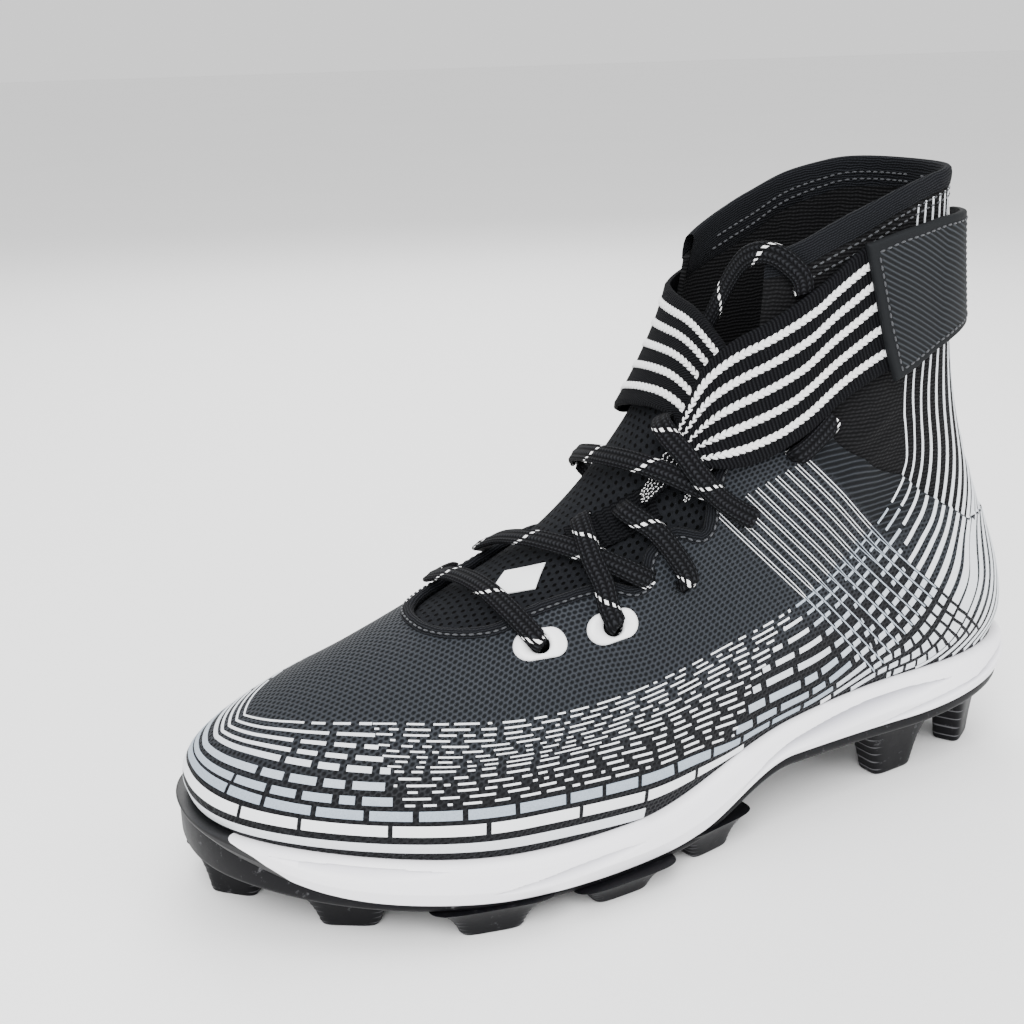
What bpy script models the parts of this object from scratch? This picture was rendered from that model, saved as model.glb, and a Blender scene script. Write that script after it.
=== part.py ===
"""High-top american football cleat, left shoe, standing empty on its studs.

Metres, +Z up. The toe points to -X, the heel to +X, and the outer side of the foot is -Y.
The origin is under the middle of the shoe, on the ground.

Every curved piece comes from one form, the last: a stack of closed levels that runs from the
feather edge, where upper meets sole, to the collar. A place on it is (u, v). u goes once round
the shoe: 0 at the toe, 1 at the heel along the outer side, and on to 2 back at the toe along
the inner side. v is the level, 0 at the feather edge and 9 at the collar.
"""

import math
from collections import namedtuple

import bmesh
import bpy
import numpy as np

# Driving dimensions
LENGTH = 0.276            # sole, toe to heel
BALL_WIDTH = 0.100        # nominal width across the ball
HEEL_HEIGHT = 0.039       # feather edge above the ground at the heel
UPPER_HEIGHT = 0.153      # feather edge to collar at the heel
AXIS_OFFSET = 0.0045      # the last's centre line lies this far to the inner side of the box's middle
TOE_SWING = 0.008         # the toe's turn towards the inner side

# Walls and clearances
GAP = 0.0003              # between pieces that touch
WALL = 0.0022             # coated lower part of the upper
KNIT_STEP = 0.0007        # the knit ankle lies this much lower than the coated part
BINDING_STEP = 0.0006     # the collar binding stands this much above the knit
RIM = 0.0008              # midsole rim inside the upper's wall
FOOTBED_DEPTH = 0.0062    # footbed below the feather edge
INSOLE_THICK = 0.0042
INSOLE_CLEAR = 0.0012     # insole's edge to the footbed's wall
INSOLE_ROUND = 0.0009     # rounding of the insole's upper edge
TONGUE_THICK = 0.0028
STRAP_THICK = 0.0015
PATCH_THICK = 0.0020
EYELET_THICK = 0.0009
LACE_WIDTH = 0.0062
LACE_THICK = 0.0022
LABEL_THICK = 0.0006
KEEPER_THICK = 0.0015

# Sole
PLATE = 0.0024            # outsole plate
LIP = 0.0016              # outsole wall that laps up round the midsole
PLATE_CHAMFER = 0.0020    # rounding of the plate's lower edge
MIDSOLE_PROUD = 0.0007    # the midsole's side stands out past the lip
SIDE_BULGE = 0.0012       # swell of the midsole's side
FULL_BULGE_TALL = 0.010   # height of side from which it swells fully
STUD_ROOT = 0.0012        # how far a stud runs up into the plate
STUD_CHAMFER = 0.0022     # cut corners of a stud

# Throat and eyelets
THROAT_LOW = 0.055        # underside of the cut, above the toe box's inside
THROAT_HIGH = 0.230       # top of the cut, over the collar
EYELET_LONG = 0.0165
EYELET_WIDE = 0.0105
EYELET_HOLE = 0.0030      # radius

# How fine the meshes are
SIDE_STEPS = 28           # columns on each side of the shoe
COATED_ROWS = 11          # rows below the overlay's edge
KNIT_ROWS = 9             # rows above it
LACE_SIDES = 8
EYELET_STEPS = 20

# The levels. Rises are shares of UPPER_HEIGHT above the feather edge, at four stations along
# the foot. Toe and heel are shares of LENGTH from its middle. Half widths are shares of
# BALL_WIDTH. The round numbers are exponents of the end caps: 2 is an ellipse, more is squarer.
Level = namedtuple("Level", "rise_toe rise_tread rise_waist rise_heel toe heel ball_out ball_in "
                            "waist_out waist_in heel_out heel_in round_toe round_heel")
LEVELS = (
    Level(0.000, 0.000, 0.000, 0.000, -0.488, 0.486, 0.500, 0.420, 0.38, 0.29, 0.310, 0.300, 2.3, 2.10),
    Level(0.042, 0.059, 0.052, 0.065, -0.492, 0.494, 0.510, 0.440, 0.40, 0.32, 0.330, 0.325, 2.3, 2.05),
    Level(0.095, 0.137, 0.124, 0.163, -0.474, 0.483, 0.490, 0.430, 0.40, 0.34, 0.335, 0.330, 2.1, 2.00),
    Level(0.160, 0.209, 0.196, 0.275, -0.419, 0.461, 0.445, 0.415, 0.39, 0.34, 0.315, 0.310, 2.0, 1.90),
    Level(0.228, 0.283, 0.268, 0.386, -0.340, 0.436, 0.375, 0.370, 0.37, 0.34, 0.295, 0.290, 1.9, 1.90),
    Level(0.312, 0.368, 0.366, 0.497, -0.235, 0.412, 0.330, 0.340, 0.35, 0.34, 0.285, 0.280, 1.9, 1.90),
    Level(0.415, 0.477, 0.484, 0.621, -0.115, 0.392, 0.310, 0.310, 0.34, 0.34, 0.280, 0.280, 2.0, 1.90),
    Level(0.572, 0.650, 0.637, 0.745, -0.017, 0.378, 0.290, 0.290, 0.32, 0.32, 0.275, 0.275, 2.2, 1.90),
    Level(0.755, 0.863, 0.837, 0.882, 0.052, 0.365, 0.280, 0.280, 0.30, 0.30, 0.270, 0.270, 2.4, 1.90),
    Level(0.931, 1.052, 0.992, 1.000, 0.088, 0.356, 0.280, 0.280, 0.30, 0.30, 0.270, 0.270, 2.6, 2.00),
)
TOP = len(LEVELS) - 1
FEATHER = (0.73, 0.54, 0.92, 1.00)        # shares of HEEL_HEIGHT at the four stations
RISE_AT = (0.00, 0.42, 0.63, 1.00)        # the stations, as shares of a level's length
WIDTH_AT = (0.00, 0.27, 0.60, 0.86, 1.00)
TOE_WIDTH = 0.96                          # of the ball's half width, under the toe cap
CAP_TOE, CAP_HEEL = 0.30, 0.80            # the end caps reach these shares of the length
STEP_TOE, STEP_HEEL = 0.36, 0.74          # and take these shares of the columns
SWING_FROM, SWING_TO = -0.225, -0.515     # shares of LENGTH

# The sole's side, at stations along the foot: the outsole's lower face, the top of its lip and
# how far it stands out past the feather edge. Heights are shares of HEEL_HEIGHT.
Side = namedtuple("Side", "at plate lip out")
SIDE = (
    Side(0.00, 0.400, 0.690, 0.0030),
    Side(0.03, 0.390, 0.640, 0.0030),
    Side(0.10, 0.330, 0.490, 0.0030),
    Side(0.20, 0.260, 0.385, 0.0028),
    Side(0.42, 0.160, 0.260, 0.0026),
    Side(0.50, 0.190, 0.285, 0.0022),
    Side(0.63, 0.530, 0.640, 0.0016),
    Side(0.80, 0.520, 0.645, 0.0022),
    Side(1.00, 0.600, 0.760, 0.0028),
)

# Section of the midsole's side: height, width and swell as shares of the whole.
Corner = namedtuple("Corner", "up width swell")
SIDE_SECTION = (
    Corner(0.00, 1.00, 0.0), Corner(0.35, 1.00, 1.0), Corner(0.75, 1.00, 0.4), Corner(0.96, 0.75, 0.0),
    Corner(1.00, 0.30, 0.0),
)

# Studs: centre as shares of LENGTH and BALL_WIDTH, root and tip as length by width in metres,
# turn in degrees from the shoe's long axis.
Stud = namedtuple("Stud", "name along across root_long root_wide tip_long tip_wide turn")
STUDS = (
    Stud("toe_outer", -0.452, 0.075, 0.021, 0.014, 0.014, 0.009, -40),
    Stud("toe_inner", -0.440, 0.290, 0.021, 0.014, 0.014, 0.009, 34),
    Stud("front_outer", -0.362, -0.210, 0.028, 0.017, 0.016, 0.009, -28),
    Stud("front_inner", -0.342, 0.395, 0.026, 0.016, 0.015, 0.009, 8),
    Stud("ball_outer", -0.242, -0.400, 0.029, 0.017, 0.017, 0.009, -9),
    Stud("ball_inner", -0.235, 0.370, 0.027, 0.016, 0.016, 0.009, 0),
    Stud("tread_outer", -0.102, -0.400, 0.028, 0.017, 0.017, 0.009, 6),
    Stud("tread_inner", -0.105, 0.335, 0.027, 0.016, 0.016, 0.009, -6),
    Stud("rear_outer", 0.019, -0.315, 0.024, 0.015, 0.014, 0.008, 14),
    Stud("rear_inner", 0.012, 0.275, 0.024, 0.015, 0.014, 0.008, -12),
    Stud("heel_outer", 0.305, -0.150, 0.029, 0.017, 0.016, 0.009, 8),
    Stud("heel_inner", 0.305, 0.235, 0.029, 0.017, 0.016, 0.009, -8),
    Stud("back_outer", 0.428, -0.065, 0.022, 0.015, 0.013, 0.009, 36),
    Stud("back_inner", 0.428, 0.155, 0.022, 0.015, 0.013, 0.009, -36),
)

# The throat, seen from above: half widths from the last's centre line, as shares of BALL_WIDTH,
# at places along the foot as shares of LENGTH. The two teeth are the lacing tabs.
Throat = namedtuple("Throat", "along half")
THROAT = (
    Throat(-0.2500, 0.030), Throat(-0.2450, 0.080), Throat(-0.2330, 0.125), Throat(-0.2150, 0.165),
    Throat(-0.1900, 0.200), Throat(-0.1550, 0.205), Throat(-0.0830, 0.250), Throat(-0.0450, 0.305),
    Throat(-0.0340, 0.262), Throat(-0.0050, 0.266), Throat(0.0290, 0.305), Throat(0.0400, 0.270),
    Throat(0.0700, 0.262), Throat(0.1000, 0.240), Throat(0.1090, 0.215), Throat(0.1600, 0.210),
)

# Where the coated part's edge crosses the shoe, as level over u: from the eyestay's top down
# to the back of the heel.
OVERLAY_U = (0.00, 0.42, 0.50, 0.62, 0.73, 0.80, 0.85, 1.00)
OVERLAY_V = (6.95, 6.95, 6.90, 6.05, 4.95, 3.90, 3.20, 2.90)
BINDING_V = 8.72                          # lower edge of the collar binding
STEP_V = 0.06                             # slant of the small steps in the upper's skin

# The tongue, level by level: its outer and inner edges as u. It starts under the vamp.
Tongue = namedtuple("Tongue", "v outer inner")
TONGUE = (
    Tongue(4.35, 0.06, -0.06), Tongue(4.55, 0.14, -0.12), Tongue(5.00, 0.21, -0.14),
    Tongue(5.60, 0.26, -0.14), Tongue(6.20, 0.31, -0.17), Tongue(6.80, 0.34, -0.21),
    Tongue(7.30, 0.33, -0.25), Tongue(7.70, 0.30, -0.26),
)

# Straps, from under the patch on one side, across the front, to the tucked end on the other.
# Each row gives the upper and lower edge as u and level, and how far the strap's underside
# stands off the last.
Fold = namedtuple("Fold", "top_u top_v low_u low_v lift")
STRAP_OVER = (
    Fold(0.700, 8.32, 0.780, 6.90, 0.0006), Fold(0.580, 8.52, 0.690, 7.00, 0.0006),
    Fold(0.482, 8.60, 0.605, 7.12, 0.0006), Fold(0.400, 8.52, 0.500, 7.18, 0.0013),
    Fold(0.325, 8.43, 0.425, 7.06, 0.0026), Fold(0.250, 8.28, 0.370, 6.98, 0.0030),
    Fold(0.183, 8.10, 0.321, 6.91, 0.0030), Fold(0.141, 7.82, 0.285, 6.90, 0.0030),
    Fold(0.143, 7.45, 0.240, 6.90, 0.0030), Fold(0.148, 7.15, 0.215, 6.82, 0.0027),
    Fold(0.150, 6.85, 0.195, 6.68, 0.0014), Fold(0.155, 6.62, 0.180, 6.52, 0.0004),
)
STRAP_UNDER = (
    Fold(-0.700, 8.32, -0.780, 6.90, 0.0006), Fold(-0.580, 8.52, -0.690, 7.00, 0.0006),
    Fold(-0.482, 8.60, -0.605, 7.12, 0.0006), Fold(-0.360, 8.55, -0.430, 7.06, 0.0006),
    Fold(-0.220, 8.52, -0.260, 7.05, 0.0008), Fold(-0.090, 8.50, -0.100, 7.28, 0.0008),
    Fold(0.020, 8.41, 0.030, 7.40, 0.0008), Fold(0.110, 8.22, 0.112, 7.36, 0.0008),
    Fold(0.190, 7.95, 0.165, 7.22, 0.0008), Fold(0.245, 7.50, 0.215, 7.05, 0.0008),
    Fold(0.262, 7.05, 0.236, 6.80, 0.0006), Fold(0.262, 6.66, 0.240, 6.56, 0.0003),
)
# The patch that closes each strap: corners as u and level, front ones first.
PATCH_TOP = ((0.470, 8.66), (0.930, 8.22))
PATCH_LOW = ((0.625, 6.98), (0.930, 6.58))
PATCH_LIFT = 0.0027

# Label and lace keeper on the tongue: corners as u and level.
LABEL_TOP = ((0.010, 5.55), (0.082, 5.78))
LABEL_LOW = ((0.072, 5.24), (0.140, 5.44))
KEEPER_TOP = ((0.040, 6.20), (0.150, 6.78))
KEEPER_LOW = ((0.150, 5.98), (0.225, 6.42))

# Eyelets of the outer side as u, level and turn in degrees. The inner side mirrors them.
EYELETS = ((0.241, 4.75, 8), (0.311, 4.97, 10))

# Laces: points by hand as u, level and height of the lace's middle above the last, in metres.
LACE_LOW = 0.0022
BAR_FRONT = ((1.775, 4.78, 0.0034), (1.860, 4.98, 0.0026), (1.955, 5.32, LACE_LOW),
             (0.066, 5.37, LACE_LOW), (0.154, 5.17, LACE_LOW), (0.205, 4.95, 0.0026), (0.238, 4.77, 0.0036))
BAR_SECOND = ((1.780, 5.02, 0.0034), (1.850, 5.42, 0.0026), (1.930, 5.80, LACE_LOW),
              (0.040, 5.98, LACE_LOW), (0.138, 5.98, LACE_LOW), (0.205, 5.89, LACE_LOW),
              (0.262, 5.76, LACE_LOW))
BAR_INTO_SECOND = ((0.085, 6.28, LACE_LOW), (0.130, 6.12, LACE_LOW), (0.185, 5.85, 0.0028),
                   (0.235, 5.58, 0.0028), (0.275, 5.28, 0.0026), (0.306, 5.02, 0.0036))
BAR_THIRD = ((0.165, 6.42, 0.0030), (0.233, 6.27, 0.0026), (0.286, 6.04, 0.0022), (0.330, 5.78, 0.0024),
             (0.356, 5.58, 0.0032))
BAR_HIGH = ((1.800, 6.55, 0.0034), (1.890, 6.72, 0.0032), (0.013, 6.84, 0.0044), (0.110, 6.87, 0.0052),
            (0.189, 6.82, 0.0059), (0.245, 6.74, 0.0054))
BAR_INTO_FOURTH = ((0.132, 7.22, 0.0068), (0.170, 7.10, 0.0068), (0.204, 6.99, 0.0066),
                   (0.245, 6.82, 0.0054), (0.300, 6.62, 0.0030), (0.347, 6.46, 0.0028),
                   (0.388, 6.32, 0.0034))

# The loose loop of lace behind the straps, and the end that runs up under them.
LOOP = ((0.020, 8.02, -0.0045), (0.035, 8.30, -0.0045), (0.058, 8.60, -0.0040), (0.090, 8.82, -0.0025),
        (0.135, 8.96, 0.0000), (0.185, 9.00, 0.0016), (0.235, 8.94, 0.0019), (0.285, 8.78, 0.0018),
        (0.316, 8.62, 0.0013), (0.330, 8.46, 0.0009))
END_OUTER = ((0.433, 6.84, 0.0030), (0.452, 6.86, 0.0025), (0.476, 6.90, 0.0021), (0.497, 6.93, 0.0019))

COLORS = {
    "coated": (0.030, 0.034, 0.040), "knit": (0.012, 0.012, 0.014), "white": (0.80, 0.80, 0.86),
    "rubber": (0.010, 0.010, 0.012), "strap": (0.020, 0.020, 0.024), "trim": (0.85, 0.86, 0.88),
}


def blend(stations, values, at):
    """Smooth curve through the values at the stations, without overshoot."""
    xs, ys = np.asarray(stations, float), np.asarray(values, float)
    slope = np.diff(ys) / np.diff(xs)
    tangent = np.concatenate([[0.0], (slope[1:] + slope[:-1]) / 2, [0.0]])
    tangent[1:-1][slope[1:] * slope[:-1] <= 0] = 0.0
    k = np.clip(np.searchsorted(xs, at) - 1, 0, len(xs) - 2)
    span = xs[k + 1] - xs[k]
    t = np.clip((at - xs[k]) / span, 0.0, 1.0)
    return ((2 * t**3 - 3 * t**2 + 1) * ys[k] + (t**3 - 2 * t**2 + t) * span * tangent[k]
            + (3 * t**2 - 2 * t**3) * ys[k + 1] + (t**3 - t**2) * span * tangent[k + 1])


def column_share(level, w):
    """Share of the level's length and fullness of its outline for columns w from toe to heel."""
    toe_angle = np.clip(w / STEP_TOE, 0, 1) * math.pi / 2
    heel_angle = np.clip((1 - w) / (1 - STEP_HEEL), 0, 1) * math.pi / 2
    toe = CAP_TOE * (1 - np.cos(toe_angle) ** (2 / level.round_toe))
    heel = 1 - (1 - CAP_HEEL) * (1 - np.cos(heel_angle) ** (2 / level.round_heel))
    middle = CAP_TOE + (CAP_HEEL - CAP_TOE) * (w - STEP_TOE) / (STEP_HEEL - STEP_TOE)
    share = np.where(w <= STEP_TOE, toe, np.where(w < STEP_HEEL, middle, heel))
    full = np.sin(toe_angle) ** (2 / level.round_toe) * np.sin(heel_angle) ** (2 / level.round_heel)
    return share, full


def half_level(level, w, outer):
    """One side of a level, toe to heel."""
    share, full = column_share(level, w)
    if outer:
        ball, waist, heel = level.ball_out, level.waist_out, level.heel_out
    else:
        ball, waist, heel = level.ball_in, level.waist_in, level.heel_in
    half = blend(WIDTH_AT, (ball * TOE_WIDTH, ball, waist, heel, heel), share) * full * BALL_WIDTH
    x = (level.toe + (level.heel - level.toe) * share) * LENGTH
    turn = np.clip((SWING_FROM - x / LENGTH) / (SWING_FROM - SWING_TO), 0, 1)
    y = AXIS_OFFSET + (-half if outer else half) + TOE_SWING * turn * turn * (3 - 2 * turn)
    rises = np.array([level.rise_toe, level.rise_tread, level.rise_waist, level.rise_heel])
    z = blend(RISE_AT, np.array(FEATHER) * HEEL_HEIGHT + rises * UPPER_HEIGHT, share)
    return np.stack([x, y, z], axis=-1)


def level_points(level, u):
    """Points of a level at places u round the shoe."""
    u = np.asarray(u, float) % 2
    outer = half_level(level, np.minimum(u, 1), True)
    inner = half_level(level, np.clip(2 - u, 0, 1), False)
    return np.where((u <= 1)[..., None], outer, inner)


def last(u, v):
    """Points of the last at (u, v)."""
    u, v = np.broadcast_arrays(np.asarray(u, float), np.asarray(v, float))
    shape = u.shape
    u, v = u.ravel(), v.ravel()
    stack = np.stack([level_points(level, u) for level in LEVELS])
    stack = np.concatenate([[2 * stack[0] - stack[1]], stack, [2 * stack[-1] - stack[-2]]])
    k = np.clip(np.floor(v).astype(int), 0, TOP - 1)
    t = (v - k)[:, None]
    col = np.arange(len(u))
    a, b, c, d = (stack[k + n, col] for n in range(4))
    point = (2 * b + (c - a) * t + (2 * a - 5 * b + 4 * c - d) * t**2 + (3 * b - a - 3 * c + d) * t**3) / 2
    return point.reshape(shape + (3,))


def slopes(u, v):
    """The last's directions along u and v."""
    step = 0.004
    along_u = (last(np.add(u, step), v) - last(np.subtract(u, step), v)) / (2 * step)
    along_v = (last(u, np.add(v, step)) - last(u, np.subtract(v, step))) / (2 * step)
    return along_u, along_v


def off(u, v, lift):
    """Points at a height above the last."""
    along_u, along_v = slopes(u, v)
    normal = np.cross(along_u, along_v)
    normal /= np.linalg.norm(normal, axis=-1, keepdims=True)
    return last(u, v) + normal * np.asarray(lift, float)[..., None]


def material(name, color, rough=0.6):
    """Plain material of a piece."""
    mat = bpy.data.materials.new(name)
    mat.use_nodes = True
    shader = mat.node_tree.nodes["Principled BSDF"]
    shader.inputs["Base Color"].default_value = (*color, 1.0)
    shader.inputs["Roughness"].default_value = rough
    return mat


def add_object(name, points, faces, color, rough=0.6):
    """Closed mesh object with its faces pointing out."""
    mesh = bpy.data.meshes.new(name)
    mesh.from_pydata([tuple(p) for p in points], [], faces)
    bm = bmesh.new()
    bm.from_mesh(mesh)
    bmesh.ops.recalc_face_normals(bm, faces=bm.faces)
    bm.to_mesh(mesh)
    bm.free()
    mesh.shade_smooth()
    mesh.set_sharp_from_angle(angle=math.radians(40))
    obj = bpy.data.objects.new(name, mesh)
    bpy.context.scene.collection.objects.link(obj)
    mesh.materials.append(material(name, color, rough))
    return obj


def boolean(obj, cutter, operation):
    """Boolean of two objects; the cutter is used up."""
    mod = obj.modifiers.new(operation.lower(), "BOOLEAN")
    mod.operation = operation
    mod.object = cutter
    mod.solver = "EXACT"
    evaluated = obj.evaluated_get(bpy.context.evaluated_depsgraph_get())
    mesh = bpy.data.meshes.new_from_object(evaluated)
    obj.modifiers.remove(mod)
    obj.data = mesh
    bpy.data.objects.remove(cutter)
    return obj


def ring_faces(rows, count):
    """Quads between closed rows of count points."""
    corners = [(i, (i + 1) % count) for i in range(count)]
    return [(r * count + a, r * count + b, (r + 1) * count + b, (r + 1) * count + a)
            for r in range(rows - 1) for a, b in corners]


def ladder(first, count):
    """Faces across a closed row, rung by rung from toe to heel."""
    half = count // 2
    faces = [(first, first + 1, first + count - 1)]
    faces += [(first + i, first + i + 1, first + count - i - 1, first + count - i)
              for i in range(1, half - 1)]
    faces.append((first + half - 1, first + half, first + half + 1))
    return faces


def sole_loop(outset, height):
    """Closed row round the sole: the feather edge moved out, at heights given point by point."""
    u = np.arange(2 * SIDE_STEPS) / SIDE_STEPS
    edge = level_points(LEVELS[0], u)
    ahead, behind = np.roll(edge, -1, axis=0), np.roll(edge, 1, axis=0)
    tangent = (ahead - behind)[:, :2]
    tangent /= np.linalg.norm(tangent, axis=1, keepdims=True)
    row = edge.copy()
    row[:, 0] += tangent[:, 1] * outset
    row[:, 1] -= tangent[:, 0] * outset
    row[:, 2] = height
    return row


def sole_shares():
    """Share of the sole's length for every column of a sole loop."""
    u = np.arange(2 * SIDE_STEPS) / SIDE_STEPS
    return column_share(LEVELS[0], np.where(u <= 1, u, 2 - u))[0]


def side_values(column, share):
    """A column of the sole's side table at shares of the length."""
    scale = 1.0 if column == "out" else HEEL_HEIGHT
    return blend([s.at for s in SIDE], [getattr(s, column) for s in SIDE], share) * scale


def feather_height(share):
    """Height of the feather edge at shares of the sole's length."""
    return blend(RISE_AT, FEATHER, share) * HEEL_HEIGHT


def make_upper():
    """The upper: one hollow wall, open at the collar, the throat and underneath."""
    u = np.arange(2 * SIDE_STEPS) / SIDE_STEPS
    edge_v = np.interp(np.where(u <= 1, u, 2 - u), OVERLAY_U, OVERLAY_V)
    rows = [(edge_v * i / COATED_ROWS, 0.0) for i in range(COATED_ROWS + 1)]
    for i in range(KNIT_ROWS + 1):
        rows.append((edge_v + STEP_V + (BINDING_V - edge_v - STEP_V) * i / KNIT_ROWS, -KNIT_STEP))
    rows += [(np.full_like(u, BINDING_V + STEP_V), BINDING_STEP - KNIT_STEP),
             (np.full_like(u, float(TOP)), BINDING_STEP - KNIT_STEP)]
    outer = [off(u, v, np.full_like(u, lift)) for v, lift in rows]
    inner = [off(u, v, np.full_like(u, -WALL)) for v, _ in reversed(rows[::2] + rows[-1:])]
    points = np.concatenate(outer + inner)
    count, total = len(u), len(outer) + len(inner)
    faces = ring_faces(total, count)
    faces += [((total - 1) * count + i, (total - 1) * count + (i + 1) % count, (i + 1) % count, i)
              for i in range(count)]
    upper = add_object("upper", points, faces, COLORS["coated"], 0.75)
    return boolean(upper, throat_cutter(), "DIFFERENCE")


def throat_cutter():
    """Upright prism of the throat's outline."""
    outer = [(t.along * LENGTH, AXIS_OFFSET - t.half * BALL_WIDTH) for t in THROAT]
    inner = [(t.along * LENGTH, AXIS_OFFSET + t.half * BALL_WIDTH) for t in reversed(THROAT)]
    outline = outer + inner
    count = len(outline)
    points = [(x, y, THROAT_LOW) for x, y in outline] + [(x, y, THROAT_HIGH) for x, y in outline]
    faces = [tuple(range(count)), tuple(range(2 * count - 1, count - 1, -1))]
    faces += [(i, (i + 1) % count, count + (i + 1) % count, count + i) for i in range(count)]
    return add_object("throat_cutter", points, faces, COLORS["knit"])


def make_midsole():
    """White midsole: a cup with a footbed, its sides swelling out over the outsole's lip."""
    share, out = sole_shares(), side_values("out", sole_shares())
    floor = side_values("plate", share) + PLATE + GAP
    step = side_values("lip", share) + GAP
    rim = feather_height(share) - GAP
    inside = out - LIP - GAP
    side = out + MIDSOLE_PROUD
    tall = rim - step
    bulge = SIDE_BULGE * np.clip(tall / FULL_BULGE_TALL, 0, 1)
    loops = [(inside, floor), (inside, step)]
    loops += [(side * s.width + bulge * s.swell, step + tall * s.up) for s in SIDE_SECTION]
    loops += [(np.full_like(out, -WALL - RIM), rim),
              (np.full_like(out, -WALL - RIM * 2), feather_height(share) - FOOTBED_DEPTH)]
    points = np.concatenate([sole_loop(o, h) for o, h in loops])
    count = 2 * SIDE_STEPS
    faces = ring_faces(len(loops), count) + ladder(0, count) + ladder((len(loops) - 1) * count, count)
    return add_object("midsole", points, faces, COLORS["white"], 0.45)


def make_insole():
    """Insole on the footbed, a little clear of the wall."""
    share = sole_shares()
    low = feather_height(share) - FOOTBED_DEPTH + GAP
    edge = np.full_like(share, -WALL - RIM * 2 - INSOLE_CLEAR)
    loops = [(edge, low), (edge, low + INSOLE_THICK - INSOLE_ROUND),
             (edge - INSOLE_ROUND, low + INSOLE_THICK)]
    points = np.concatenate([sole_loop(o, h) for o, h in loops])
    count = 2 * SIDE_STEPS
    faces = ring_faces(len(loops), count) + ladder(0, count) + ladder((len(loops) - 1) * count, count)
    return add_object("insole", points, faces, COLORS["knit"], 0.9)


def plate_height(x):
    """Height of the outsole's lower face at a place along the shoe."""
    share = (np.asarray(x) / LENGTH - LEVELS[0].toe) / (LEVELS[0].heel - LEVELS[0].toe)
    return side_values("plate", np.clip(share, 0, 1))


def stud_outline(long, wide):
    """Corners of a stud's section with cut corners."""
    a, b, c = long / 2, wide / 2, STUD_CHAMFER
    return ((a - c, -b), (a, c - b), (a, b - c), (a - c, b),
            (c - a, b), (-a, b - c), (-a, c - b), (c - a, -b))


def make_stud(stud):
    """One lug, from inside the plate down to its flat tip on the ground."""
    turn = math.radians(stud.turn)
    centre_x, centre_y = stud.along * LENGTH, stud.across * BALL_WIDTH

    def placed(outline):
        return [(centre_x + x * math.cos(turn) - y * math.sin(turn), centre_y + x * math.sin(turn)
                 + y * math.cos(turn)) for x, y in outline]

    root = placed(stud_outline(stud.root_long, stud.root_wide))
    tip = placed(stud_outline(stud.tip_long, stud.tip_wide))
    points = [(x, y, float(plate_height(x)) + STUD_ROOT) for x, y in root] + [(x, y, 0.0) for x, y in tip]
    points.append((centre_x, centre_y, float(plate_height(centre_x)) + STUD_ROOT))
    count = len(root)
    faces = [(i, (i + 1) % count, 2 * count) for i in range(count)]
    faces += [(i, (i + 1) % count, count + (i + 1) % count, count + i) for i in range(count)]
    faces.append(tuple(range(count, 2 * count)))
    return add_object(stud.name, points, faces, COLORS["rubber"])


def make_outsole():
    """Black outsole: a plate with a lip that laps up round the toe, and the studs."""
    share, out = sole_shares(), side_values("out", sole_shares())
    low, lip = side_values("plate", share), side_values("lip", share)
    loops = [(out - LIP, low + PLATE), (out - LIP, lip), (out, lip), (out, low + PLATE_CHAMFER),
             (out - PLATE_CHAMFER, low)]
    points = np.concatenate([sole_loop(o, h) for o, h in loops])
    count = 2 * SIDE_STEPS
    faces = ring_faces(len(loops), count) + ladder(0, count) + ladder((len(loops) - 1) * count, count)
    outsole = add_object("outsole", points, faces, COLORS["rubber"], 0.5)
    for stud in STUDS:
        outsole = boolean(outsole, make_stud(stud), "UNION")
    return outsole


def slab(name, u, v, low, high, color, rough=0.7):
    """Closed piece that follows the last over a grid of (u, v), from height low to high."""
    rows, cols = u.shape
    under, over = off(u, v, low), off(u, v, high)
    points = np.concatenate([under.reshape(-1, 3), over.reshape(-1, 3)])
    size = rows * cols
    faces = []
    for r in range(rows - 1):
        for c in range(cols - 1):
            k = r * cols + c
            faces.append((k, k + 1, k + cols + 1, k + cols))
            faces.append((size + k, size + k + cols, size + k + cols + 1, size + k + 1))
    border = ([(0, c) for c in range(cols)] + [(r, cols - 1) for r in range(1, rows)]
              + [(rows - 1, c) for c in range(cols - 2, -1, -1)] + [(r, 0) for r in range(rows - 2, 0, -1)])
    ring = [r * cols + c for r, c in border]
    for i, k in enumerate(ring):
        after = ring[(i + 1) % len(ring)]
        faces.append((k, after, size + after, size + k))
    return add_object(name, points, faces, color, rough)


def window(top, low, rows, cols):
    """Grid of (u, v) between two lines given by their end points."""
    s = np.linspace(0, 1, cols)[None, :]
    t = np.linspace(0, 1, rows)[:, None]
    upper_u, upper_v = (top[0][n] + (top[1][n] - top[0][n]) * s for n in (0, 1))
    lower_u, lower_v = (low[0][n] + (low[1][n] - low[0][n]) * s for n in (0, 1))
    return upper_u + (lower_u - upper_u) * t, upper_v + (lower_v - upper_v) * t


def make_tongue():
    """Tongue under the throat, from beneath the vamp to behind the straps."""
    rows, cols = 15, 11
    v = np.linspace(TONGUE[0].v, TONGUE[-1].v, rows)
    places = [t.v for t in TONGUE]
    outer, inner = blend(places, [t.outer for t in TONGUE], v), blend(places, [t.inner for t in TONGUE], v)
    t = np.linspace(0, 1, cols)[None, :]
    u = inner[:, None] + (outer - inner)[:, None] * t
    high = np.full(u.shape, -WALL - GAP)
    return slab("tongue", u, np.repeat(v[:, None], cols, 1), high - TONGUE_THICK, high, COLORS["knit"], 0.9)


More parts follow.
